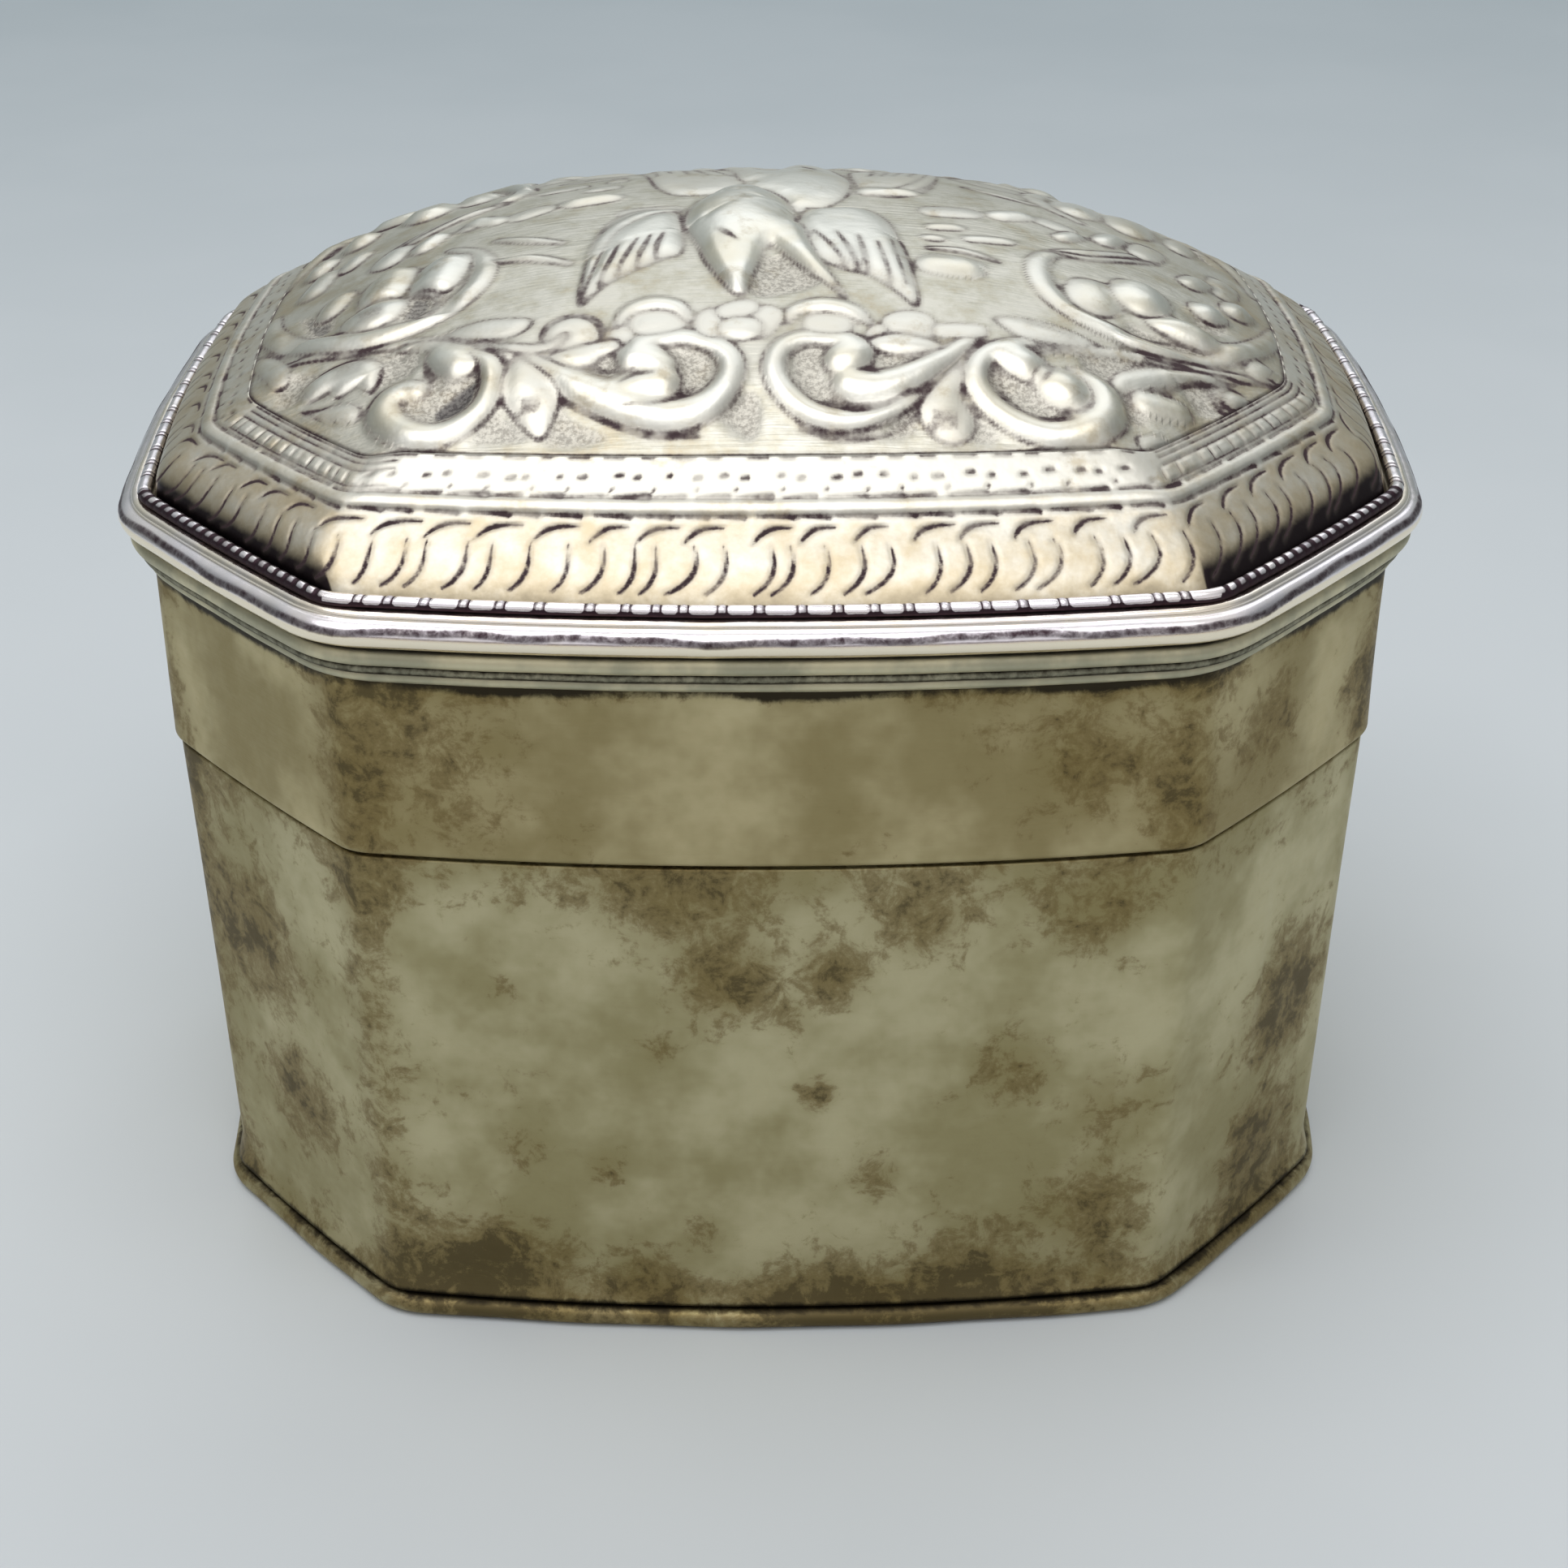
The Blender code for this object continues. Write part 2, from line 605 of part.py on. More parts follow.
def make_lid_dome(material):
    """One raised sheet: flange, full band, border ridge and ornamented crown, with a plain inside."""
    foot = dome_foot_offset
    border = foot - band_run
    rings = [
        lifted(plan_ring(0.0, fold_round), flange_foot),
        lifted(plan_ring(0.0, fold_round), flange_top),
    ]
    for share in np.linspace(0.0, 1.0, band_steps):
        swell = band_swell * math.sin(math.pi * share ** band_fullness_power)
        rings.append(lifted(dome_ring(foot - band_run * share), flange_top + band_rise * share + swell))
    rings.append(crown_ring(ridge_inset - ridge_width / 2, 0.0))
    rings.append(crown_ring(ridge_inset, ridge_height))
    rings.append(crown_ring(ridge_inset + ridge_width / 2, 0.0))
    size = len(rings[0])
    top_rings = len(rings)
    inner_drop = sheet_thickness * math.hypot(band_run, band_rise) / band_run
    inner = [hollow_ring(share, inner_drop) for share in np.linspace(0.0, 1.0, inner_crown_rings + 1)[1:]]
    inner.append(lifted(plan_ring(-flange_width - skirt_thickness, fold_round), flange_foot))
    rings += inner

    columns = field_net()
    net = np.concatenate(columns)
    rise = ornament(net)
    net = np.column_stack([net, crown_heights(net) + rise])
    hollow = np.array([(0.0, 0.0, border_height + crown_height - inner_drop)])
    points = np.concatenate(rings + [net, hollow])

    net_start = len(rings) * size
    faces = ring_faces(top_rings, size, False)
    faces += [tuple(index + top_rings * size for index in face) for face in ring_faces(len(inner), size, False)]
    faces += net_faces(columns, net_start, rise)
    last_ring = list(range((top_rings - 1) * size, top_rings * size))
    faces += zip_faces(points, last_ring, net_edge(columns, net_start))
    hollow_index = len(points) - 1
    for here in range(size):
        following = (here + 1) % size
        faces.append((top_rings * size + following, top_rings * size + here, hollow_index))
        faces.append((
            (len(rings) - 1) * size + here,
            (len(rings) - 1) * size + following,
            following,
            here,
        ))
    return solid("lid_dome", points, faces, material, 70)


def make_all():
    clear_scene()
    dull = metal("tarnished silver sheet", silver_dull, 0.55)
    plain = metal("tarnished silver skirt", silver_plain, 0.5)
    pale = metal("chased silver dome", silver_pale, 0.35)
    bright = metal("drawn silver wire", silver_bright, 0.25)
    make_base_plate(dull)
    make_body_wall(dull)
    make_neck_collar(pale)
    lid = bpy.data.objects.new("lid_lift", None)
    bpy.context.scene.collection.objects.link(lid)
    lid_pieces = (
        make_lid_skirt(plain),
        make_reeded_strip(bright),
        make_rim_wire(bright),
        make_notched_wire(bright),
        make_lid_dome(pale),
    )
    for piece in lid_pieces:
        piece.parent = lid


make_all()
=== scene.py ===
# %% [markdown]
# An oblong silver box with eight sides and a deep lid that lifts straight off.
# Its body is plain sheet, dulled by tarnish, and its lid is a low dome raised and
# chased with scrolls, leaves and a plump bud between two wings.
# Each cell below makes one piece or one finish. Sizes are in millimetres, and the
# last step of each piece turns them into Blender's metres.

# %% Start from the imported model
import math
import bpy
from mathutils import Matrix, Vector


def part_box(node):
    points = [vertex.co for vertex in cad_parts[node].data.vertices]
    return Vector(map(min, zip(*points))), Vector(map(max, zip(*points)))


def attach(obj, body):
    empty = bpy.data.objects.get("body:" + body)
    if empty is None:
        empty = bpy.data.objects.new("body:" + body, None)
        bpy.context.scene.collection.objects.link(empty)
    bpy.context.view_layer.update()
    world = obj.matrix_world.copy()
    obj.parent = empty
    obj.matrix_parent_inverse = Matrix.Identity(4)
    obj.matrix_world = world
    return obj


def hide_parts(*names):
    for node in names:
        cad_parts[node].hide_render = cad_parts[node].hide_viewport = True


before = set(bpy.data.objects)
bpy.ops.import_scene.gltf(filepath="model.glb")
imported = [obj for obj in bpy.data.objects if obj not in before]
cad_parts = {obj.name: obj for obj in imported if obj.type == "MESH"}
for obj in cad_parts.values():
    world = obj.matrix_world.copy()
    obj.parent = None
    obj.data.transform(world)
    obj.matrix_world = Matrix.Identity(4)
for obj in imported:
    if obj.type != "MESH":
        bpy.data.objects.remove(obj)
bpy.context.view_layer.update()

from types import SimpleNamespace

import bpy
import numpy as np
from mathutils import Matrix, Vector

metres = 0.001


def box_of(node):
    """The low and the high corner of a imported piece, in millimetres."""
    return [np.array(corner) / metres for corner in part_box(node)]


def show(name, data):
    """A new object in the scene that holds this mesh, lamp or camera."""
    item = bpy.data.objects.new(name, data)
    bpy.context.scene.collection.objects.link(item)
    return item


print("pieces in the frame:", ", ".join(sorted(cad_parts)))

# %% [markdown]
# The photograph looks down on the long front side from a little above, close enough
# for the far side to shrink. A long lens would flatten the box, so the camera stands
# at the real distance, with the lens that gives the same field of view.

# %% Camera
camera_place = np.array([-0.13, -191.71, 133.33])
camera_pitch = math.radians(29.02)
camera_yaw = math.radians(0.32)
camera_roll = math.radians(-0.08)
focal_pixels = 3400
picture_pixels = 1932
optical_row = 945
sensor_width = 36

camera_data = bpy.data.cameras.new("camera")
camera_data.sensor_width = sensor_width
camera_data.lens = sensor_width * focal_pixels / picture_pixels
camera_data.shift_y = (optical_row - picture_pixels / 2) / picture_pixels
camera_data.clip_start = 0.01
camera = show("camera", camera_data)
bpy.context.scene.camera = camera
turn = Matrix.Rotation(-camera_yaw, 4, "Z") @ Matrix.Rotation(math.pi / 2 - camera_pitch, 4, "X")
camera.matrix_world = (
    Matrix.Translation(camera_place * metres) @ turn @ Matrix.Rotation(camera_roll, 4, "Z")
)
print("lens", round(camera_data.lens, 1), "mm")

# %% [markdown]
# Every material here is a few nodes on the surface's own coordinates. One helper adds a
# node with its settings and its links, and one turns a colour written as on the web into
# the linear values that the shader wants. Two more give a node's numbers in the maker's
# terms: how many millimetres a pattern measures, and between which values a step rises.

# %% Helpers for materials
smooth_step = {"interpolation_type": "SMOOTHSTEP"}
product = {"operation": "MULTIPLY"}
weighted_sum = {"operation": "MULTIPLY_ADD"}
colours = {"data_type": "RGBA"}


def linear(code):
    """An sRGB hex code as linear red, green, blue and 1: each channel is undone by the sRGB curve."""
    values = [int(code[i : i + 2], 16) / 255 for i in (0, 2, 4)]
    return [v / 12.92 if v <= 0.04045 else ((v + 0.055) / 1.055) ** 2.4 for v in values] + [1.0]


def add(tree, kind, settings=None, out=0, **inputs):
    """Adds a node and returns one of its outputs, by name or number. Settings are its properties, and
    inputs its sockets: a number, a hex colour, a link from another node's output, or None to leave it
    alone. A socket is named by its words joined with _ or as s0, s1 for its place."""
    node = tree.nodes.new("ShaderNode" + kind)
    for name, value in (settings or {}).items():
        setattr(node, name, value)
    for name, value in inputs.items():
        by_place = name[0] == "s" and name[1:].isdigit()
        socket = node.inputs[int(name[1:]) if by_place else name.replace("_", " ")]
        if isinstance(value, bpy.types.NodeSocket):
            tree.links.new(value, socket)
        elif value is not None:
            socket.default_value = linear(value) if isinstance(value, str) else value
    return node.outputs[out] if len(node.outputs) else node

# %% Numbers for nodes, and a metal's shader


def span(low, high, start=0.0, end=1.0):
    """The sockets of a step that is start below low and end above high."""
    return {"From_Min": low, "From_Max": high, "To_Min": start, "To_Max": end}


def features(size, detail=3.0, roughness=0.55, distortion=0.0):
    """The sockets of a noise whose features are about size millimetres across. Coordinates are in metres, so
    the scale is one over the size in metres."""
    return {"Scale": 1 / (size * metres), "Detail": detail, "Roughness": roughness, "Distortion": distortion}


def new_material(name):
    """An empty material with its node tree and its object coordinates."""
    material = bpy.data.materials.new(name)
    material.use_nodes = True
    tree = material.node_tree
    tree.nodes.clear()
    return material, tree, add(tree, "TexCoord", out="Object")


def finish_metal(tree, colour, roughness, normal):
    """Joins colour, roughness and bumps to a metal's shader, and that to the material's output."""
    shader = add(tree, "BsdfPrincipled", Base_Color=colour, Roughness=roughness, Metallic=1.0, Normal=normal)
    add(tree, "OutputMaterial", Surface=shader)

# %% [markdown]
# The box stands on a pale sheet in soft daylight. The floor is one wide disc, painted a little
# darker and bluer towards the back as painted shade, where paper curves away from the window.
# Silver shows what is around it, so the lamps are large and soft, and the room is
# darker low in front, where the wires of the lid pick it up.

# %% Floor
floor_radius = 2500
floor_drop = 0.05
floor_near = "ced3d5"
floor_far = "a1abaf"
floor_front = "ccc6c0"
floor_sides = 96

floor_material, tree, place = new_material("matt paper")
to_back = add(tree, "SeparateXYZ", out="Y", Vector=place)
# Painted shade: the paper turns darker and bluer towards the back.
away = add(tree, "MapRange", smooth_step, Value=to_back, **span(-0.05, 0.45))
fibres = add(tree, "TexNoise", Vector=place, **features(60))
clouds = add(tree, "MapRange", smooth_step, Value=fibres, **span(0.35, 0.65, 0.0, 0.06))
away = add(tree, "Math", s0=away, s1=clouds)
toward = add(tree, "MapRange", smooth_step, Value=to_back, **span(-0.36, -0.22, 1.0, 0.0))
paper = add(tree, "Mix", colours, 2, s0=away, s6=floor_near, s7=floor_far)
paper = add(tree, "Mix", colours, 2, s0=toward, s6=paper, s7=floor_front)
add(tree, "OutputMaterial", Surface=add(tree, "BsdfPrincipled", Base_Color=paper, Roughness=0.85))

floor_angle = np.linspace(0, 2 * np.pi, floor_sides, endpoint=False)
floor_ring = np.column_stack([np.cos(floor_angle), np.sin(floor_angle)]) * floor_radius
floor_points = np.column_stack([floor_ring, np.full(floor_sides, -floor_drop)]) * metres
floor_mesh = bpy.data.meshes.new("floor")
floor_mesh.from_pydata(floor_points.tolist(), [], [list(range(floor_sides))])
floor_mesh.materials.append(floor_material)
floor = show("floor", floor_mesh)
print("floor", 2 * floor_radius, "mm wide")

# %% Lamps and room
aim_height = 45


def lamp(name, place, size, power, colour):
    """A large soft lamp, size millimetres wide and high, that faces the middle of the box."""
    data = bpy.data.lights.new(name, "AREA")
    data.shape = "RECTANGLE"
    data.size, data.size_y = size[0] * metres, size[1] * metres
    data.energy = power
    data.color = linear(colour)[:3]
    item = show(name, data)
    item.location = np.array(place) * metres
    direction = Vector((0, 0, aim_height)) - Vector(place)
    item.rotation_euler = direction.to_track_quat("-Z", "Y").to_euler()
    print(name, "lamp", power, "W")


lamp("window", (-120, -220, 900), (1000, 700), 4.1, "fbfbff")
lamp("ceiling", (80, 640, 700), (800, 700), 1.35, "f6f8ff")

world = bpy.data.worlds.new("room")
bpy.context.scene.world = world
world.use_nodes = True
sky = world.node_tree
sky.nodes.clear()
towards = add(sky, "SeparateXYZ", Vector=add(sky, "TexCoord", out="Generated")).node.outputs
upward = add(sky, "MapRange", smooth_step, Value=towards["Z"], **span(0.50, 0.95))
half_up = add(sky, "MapRange", smooth_step, Value=towards["Z"], **span(0.10, 0.65))
low = add(sky, "MapRange", smooth_step, Value=towards["Z"], **span(0.0, 0.26, 1.0, 0.0))
backward = add(sky, "MapRange", smooth_step, Value=towards["Y"], **span(0.15, 0.75))
frontward = add(sky, "MapRange", smooth_step, Value=towards["Y"], **span(-0.75, 0.0, 1.0, 0.0))
low_front = add(sky, "Math", product, s0=frontward, s1=low)
back_wall = add(sky, "Mix", colours, 2, s0=half_up, s6="959c9c", s7="cdd3d4")
room_colour = "888c8e"
for share, colour in (
    (backward, back_wall), (frontward, "ececee"), (upward, "e9eaea"), (low_front, "5e5350"),
):
    room_colour = add(sky, "Mix", colours, 2, s0=share, s6=room_colour, s7=colour)
add(sky, "OutputWorld", Surface=add(sky, "Background", Color=room_colour, Strength=0.9))
bpy.context.scene.view_settings.view_transform = "Standard"

# %% [markdown]
# Every ring of the box follows one plan: an oblong octagon whose long sides bow out a
# little. A ring further in or out is a parallel copy, so a piece is just a small cross
# section, written as offset and height, carried round that plan.
# The plan's size comes from the frame, and the bows are what the sheet shows.

# %% The plan of the box
skirt_low, skirt_high = box_of("lid_skirt")
front_bow = 2.1
end_bow = 0.8
cut_bow = 0.3
half_length = skirt_high[0] - end_bow
half_width = skirt_high[1] - front_bow
cut_along = 14.6
cut_across = 16.4
slant = math.hypot(cut_along, cut_across)
fold_round = 1.2
sides = 8
front_station = 6.5
first_station = 7.5

front_corner = half_length - cut_along
end_corner = half_width - cut_across


def mirrored(pair):
    """The two corners of the back right quarter, mirrored to all eight, anticlockwise from the front
    right."""
    pair = np.array(pair)
    return np.concatenate([
        pair[:1] * (1, -1), pair, pair[::-1] * (-1, 1), pair * (-1, -1), pair[1:] * (1, -1),
    ])


corner_home = mirrored([(half_length, end_corner), (front_corner, half_width)])
corner_drift = mirrored([(1, (slant - cut_across) / cut_along), ((slant - cut_along) / cut_across, 1)])
side_bow = np.array([end_bow, cut_bow, front_bow, cut_bow] * 2)
side_along = np.roll(corner_home, -1, axis=0) - corner_home
side_outward = np.stack([side_along[:, 1], -side_along[:, 0]], axis=1)
side_outward /= np.linalg.norm(side_outward, axis=1, keepdims=True)
drawn_wider = 2.0
side_pull = drawn_wider * np.array([0.9, 0.1, 0.0, 0.8, 1.0, 0.8, 0.0, 0.1])
corner_pull = np.array([
    np.linalg.solve(side_outward[[number - 1, number]], side_pull[[number - 1, number]])
    for number in range(sides)
])
print("plan", round(2 * half_length, 1), "x", round(2 * half_width, 1), "mm between its corners")

# %% A point of the plan


def corner_at(number, offset, pull):
    """A corner of the plan moved out by offset, and by a share pull of what each side was drawn wider."""
    number = number % sides
    moved = corner_home[number] + corner_drift[number] * offset[..., None]
    return moved + corner_pull[number] * pull[..., None]


def side_point(side, share, offset, pull):
    """The point at a share of a side, moved out by offset: a straight line between two corners, plus a
    parabola that stands out by the side's bow at its middle."""
    start, stop = corner_at(side, offset, pull), corner_at(side + 1, offset, pull)
    along = stop - start
    length = np.linalg.norm(along, axis=-1, keepdims=True)
    outward = np.stack([along[..., 1], -along[..., 0]], axis=-1) / length
    swell = side_bow[side % sides] * 4 * share * (1 - share)
    return start + along * share[..., None] + outward * swell[..., None], length[..., 0]


def plan_point(offset, station, rounding, pull=0.0):
    """The plan at a station, which counts the sides: 0.5 is the middle of the right end, and 6.5 that of
    the front. Each corner is a quadratic curve that starts rounding millimetres before it and ends as far
    after it."""
    offset, station, pull = np.broadcast_arrays(np.asarray(offset, float), station, pull)
    side = np.floor(station).astype(int)
    share = station - side
    straight, length = side_point(side, share, offset, pull)
    corner_after = np.where(share < 0.5, side, side + 1)
    length_before = side_point(corner_after - 1, share, offset, pull)[1]
    length_after = side_point(corner_after, share, offset, pull)[1]
    before = side_point(corner_after - 1, 1 - rounding / length_before, offset, pull)[0]
    after = side_point(corner_after, rounding / length_after, offset, pull)[0]
    corner = corner_at(corner_after, offset, pull)
    trim = rounding / length
    turn = np.where(share < 0.5, 0.5 + share / trim / 2, (share - 1 + trim) / trim / 2)
    turn = np.clip(turn, 0, 1)[..., None]
    curve = (1 - turn) ** 2 * before + 2 * turn * (1 - turn) * corner + turn ** 2 * after
    near_corner = (np.minimum(share, 1 - share) < trim)[..., None]
    return np.where(near_corner, curve, straight)

# %% Even steps round the plan


def even_stations(count, spans=1):
    """Stations evenly spaced round the plan, from the middle of the front right cut. With more spans, each
    span of the round between two middles of cuts gets its own even count."""
    fine = np.linspace(first_station, first_station + sides, 8001)
    points = plan_point(0, fine, fold_round)
    walked = np.concatenate([[0], np.cumsum(np.linalg.norm(np.diff(points, axis=0), axis=1))])
    marks = np.interp(first_station + sides * np.arange(spans + 1) / spans, fine, walked)
    wanted = [np.linspace(a, b, count // spans, endpoint=False) for a, b in zip(marks[:-1], marks[1:])]
    return np.interp(np.concatenate(wanted), walked, fine), np.concatenate(wanted)


fine_stations = np.linspace(0, sides, 4001)
perimeter = np.linalg.norm(np.diff(plan_point(0, fine_stations, fold_round), axis=0), axis=1).sum()
front_middle = np.interp(front_station + sides, *even_stations(8000))
print("round the plan", round(perimeter), "mm")

# %% [markdown]
# A mesh here is a grid of points with four-sided faces between neighbours, worked out as
# whole arrays. One function makes the faces, one hands a finished piece over to its body,
# and one carries a cross section round the plan, which makes every ring of the box.

# %% Faces between the points of a grid


def grid_faces(rows, columns, wrap_rows=False, wrap_columns=False):
    """Quads between neighbours of a grid whose points are numbered row by row."""
    row = np.arange(rows if wrap_rows else rows - 1)[:, None]
    column = np.arange(columns if wrap_columns else columns - 1)[None, :]
    next_row, next_column = (row + 1) % rows, (column + 1) % columns
    corners = [
        row * columns + column, row * columns + next_column,
        next_row * columns + next_column, next_row * columns + column,
    ]
    return np.stack(np.broadcast_arrays(*corners), axis=-1).reshape(-1, 4)

# %% A piece from points and faces


def build_piece(name, points, faces, material, body, nodes, fields=None, flat=0):
    """Puts points (millimetres) and groups of faces into a mesh, smooth, and hangs it on its body in place
    of nodes. Fields are values for each point that the material reads as attributes. The last groups of
    faces, as many as flat says, are shaded flat, so that a cut edge stays crisp."""
    mesh = bpy.data.meshes.new(name)
    corner_index = np.concatenate([group.ravel() for group in faces]).astype(np.int32)
    corner_count = np.concatenate([np.full(len(group), group.shape[1]) for group in faces])
    mesh.vertices.add(len(points))
    mesh.vertices.foreach_set("co", (np.asarray(points) * metres).astype(np.float32).ravel())
    mesh.loops.add(len(corner_index))
    mesh.loops.foreach_set("vertex_index", corner_index)
    mesh.polygons.add(len(corner_count))
    face_start = np.concatenate([[0], np.cumsum(corner_count)[:-1]])
    mesh.polygons.foreach_set("loop_start", face_start.astype(np.int32))
    mesh.update(calc_edges=True)
    mesh.validate()
    mesh.shade_smooth()
    if flat:
        is_smooth = np.arange(len(faces)) < len(faces) - flat
        smooth = np.repeat(is_smooth, [len(group) for group in faces])
        mesh.polygons.foreach_set("use_smooth", smooth)
    for field, values in (fields or {}).items():
        mesh.attributes.new(field, "FLOAT", "POINT").data.foreach_set("value", values.astype(np.float32))
    mesh.materials.append(material)
    item = show(name, mesh)
    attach(item, body)
    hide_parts(*nodes)
    print(name, int((corner_count - 2).sum()), "triangles")


def build_ring(name, grid, material, body, node, slot, **fields):
    """A piece whose cross section closes on itself and runs all round the plan. Each field is a value for
    every point of the grid, or a column with one value for each row."""
    fields = {word: np.broadcast_to(values, grid.shape[:2]).ravel() for word, values in fields.items()}
    faces = grid_faces(*grid.shape[:2], wrap_rows=True, wrap_columns=True)
    build_piece(name, grid.reshape(-1, 3), [faces], material, body, [node], fields)

# %% A cross section carried round the plan


def carry_round(profile, rounding, count, sway=None):
    """Carries a cross section round the plan: point p of the profile at station s is row p, column s.
    Sway, if given, moves each point by (offset, height) as the hand-made strip wanders."""
    station, walked = even_stations(count)
    offset, height = (np.repeat(column[:, None], count, axis=1) for column in profile.T)
    if sway is not None:
        more_offset, more_height = sway(offset, height, walked)
        offset, height = offset + more_offset, height + more_height
    flat = plan_point(offset, station[None, :], rounding)
    return np.concatenate([flat, height[..., None]], axis=-1)


def arc(middle, radius, start, end, steps):
    """Points on an arc of a cross section, as (offset, height), between two angles in degrees."""
    angle = np.radians(np.linspace(start, end, steps))
    return np.column_stack([middle[0] + radius * np.cos(angle), middle[1] + radius * np.sin(angle)])


def line(start, end, steps):
    """Evenly spaced points of a straight part of a cross section, without its last one."""
    return np.linspace(start, end, steps, endpoint=False)

# %% Bells and waves


def bell(distance, width):
    """1 where the distance is 0, falling off as exp(-(distance / width) ** 2)."""
    return np.exp(-(distance / width) ** 2)


def wander(walked, waves):
    """A slow wave along the round: a sum of sines, each (height, turns in one round, phase)."""
    turn = 2 * np.pi * walked / perimeter
    return sum(size * np.sin(turns * turn + phase) for size, turns, phase in waves)

# %% [markdown]
# The body and the skirt are plain sheet that nobody polished for years. Tarnish is a
# thin film of silver sulphide: first straw yellow, then brown, then grey and almost
# black where damp or fingers stayed. So the film here is three things in one: large
# pale clouds, brown blotches with ragged edges, and fine dark specks. Where the blotches
# lie is painted on the mesh from a list of spots, and the noise only breaks up their edges.

# %% Finish: tarnished silver sheet
film_pale = "c5bd99"
film_khaki = "a39a72"
film_ochre = "897a4c"
film_brown = "7d6a42"
film_soot = "383226"


def tarnished_sheet(name, pale, khaki, blotch_start, brushed):
    """Silver sheet under a dull film. The attribute grime says where blotches gather, and the other attribute
    where shade is painted nearly black, in the creases and under the moulding. Brushed is the depth in
    millimetres of fine lines along the sheet. The film is laid in coats, each where its value rises from low
    to high, and at most as strong as the fourth number says."""
    material, tree, place = new_material(name)
    grime, soot = (add(tree, "Attribute", {"attribute_name": word}, "Fac") for word in ("grime", "soot"))
    clouds = add(tree, "TexNoise", Vector=place, **features(11, 4, 0.6))
    mottle = add(tree, "TexNoise", Vector=place, **features(2.2, 6, 0.72, 0.4))
    speck = add(tree, "TexNoise", Vector=place, **features(0.55, 4, 0.7))
    along = add(tree, "Mapping", Vector=place, Scale=(0.06, 0.06, 1.0))
    brush = add(tree, "TexNoise", Vector=along, **features(0.22, 3, 0.6))
    dents = add(tree, "TexNoise", Vector=place, **features(9, 2, 0.5))
    ragged = 0.0
    for part, share in ((mottle, 0.75), (speck, 0.25), (grime, 0.34)):
        ragged = add(tree, "Math", weighted_sum, s0=part, s1=share, s2=ragged)
    # Painted shade: nearly black along the creases and under the moulding, broken up by the mottle.
    sooty = add(tree, "Math", weighted_sum, s0=mottle, s1=0.8, s2=soot)
    core_start = blotch_start + 0.12
    film = khaki
    for value, low, high, strongest, colour in (
        (clouds, 0.36, 0.66, 1.0, pale),
        (grime, 0.15, 0.95, 0.7, film_ochre),
        (ragged, blotch_start, blotch_start + 0.13, 0.6, film_brown),
        (ragged, core_start, core_start + 0.12, 0.55, film_soot),
        (sooty, 0.85, 1.25, 1.0, film_soot),
    ):
        share = add(tree, "MapRange", smooth_step, Value=value, **span(low, high, 0.0, strongest))
        film = add(tree, "Mix", colours, 2, s0=share, s6=film, s7=colour)
    roughness = add(tree, "MapRange", smooth_step, Value=mottle, **span(0.3, 0.7, 0.42, 0.54))
    roughness = add(tree, "Math", weighted_sum, s0=brush, s1=0.08, s2=roughness)
    normal = None
    for height, depth in ((dents, 0.10), (ragged, 0.03), (brush, brushed)):
        normal = add(tree, "Bump", Height=height, Distance=depth * metres, Strength=1.0, Normal=normal)
    finish_metal(tree, film, roughness, normal)
    return material


body_finish = tarnished_sheet("silver sheet under old tarnish", film_pale, film_khaki, 0.62, 0.010)
skirt_finish = tarnished_sheet("silver sheet under rubbed tarnish", "c5b991", "9e9168", 0.66, 0.022)

# %% [markdown]
# The collar stands under the lid, where air hardly reaches it. Silver kept from the air
# stays paler and smoother than the outside, with a breath of yellow and the light
# scratches that wiping leaves along the sheet.

# %% Finish: silver sheet kept from the air
collar_pale = "d8d3c2"
collar_shade = "b9b094"

collar_finish, tree, place = new_material("silver sheet kept from the air")
clouds = add(tree, "TexNoise", Vector=place, **features(8, 4, 0.6))
along = add(tree, "Mapping", Vector=place, Scale=(0.05, 0.05, 1.0))
scratch = add(tree, "TexNoise", Vector=along, **features(0.15, 3, 0.6))
cloud = add(tree, "MapRange", smooth_step, Value=clouds, **span(0.35, 0.7))
film = add(tree, "Mix", colours, 2, s0=cloud, s6=collar_shade, s7=collar_pale)
rubbed = add(tree, "Math", weighted_sum, s0=cloud, s1=0.3, s2=scratch)
roughness = add(tree, "MapRange", smooth_step, Value=rubbed, **span(0.4, 0.9, 0.26, 0.40))
scratched = add(tree, "Bump", Height=scratch, Distance=0.012 * metres, Strength=1.0)
finish_metal(tree, film, roughness, scratched)

# %% [markdown]
# The body is one strip of sheet, folded into eight sides, a little narrower at the foot
# and dressed by hand, so no side is quite flat. It stands on a plate whose rounded edge
# shows all round. The wall's cross section has its outer and inner face and a small
# flare at the foot where it was knocked down on to the plate.

# %% Places and sizes of the body
wall_low, wall_high = box_of("body_wall")
plate_high = box_of("base_plate")[1]
seam_height = wall_high[2]
wall_foot = wall_low[2]
base_thickness = plate_high[2]
wall_thickness = 0.7
wall_top_inset = 0.4
wall_foot_inset = 1.45
flare_reach = 0.5
flare_height = 2.6
lip_inset = 0.2
lip_corner = 2.2
corner_inset = 0.985


def wall_outside(height):
    """Offset of the wall's outer face: a straight taper from foot to seam."""
    return -wall_foot_inset + (wall_foot_inset - wall_top_inset) * height / seam_height


def spots(points, places):
    """A soft mask over points: the strongest of many round spots, each (x, y, z, radius, strength),
    which fall off like a bell."""
    mask = np.zeros(points.shape[:-1])
    for *middle, radius, strength in places:
        mask = np.maximum(mask, strength * bell(np.linalg.norm(points - middle, axis=-1), radius))
    return mask


def near_corners(points, reach):
    """1 along the folded corners, falling off over reach millimetres to either side."""
    corners = corner_home * corner_inset
    return bell(np.linalg.norm(points[..., None, :2] - corners, axis=-1).min(axis=-1), reach)


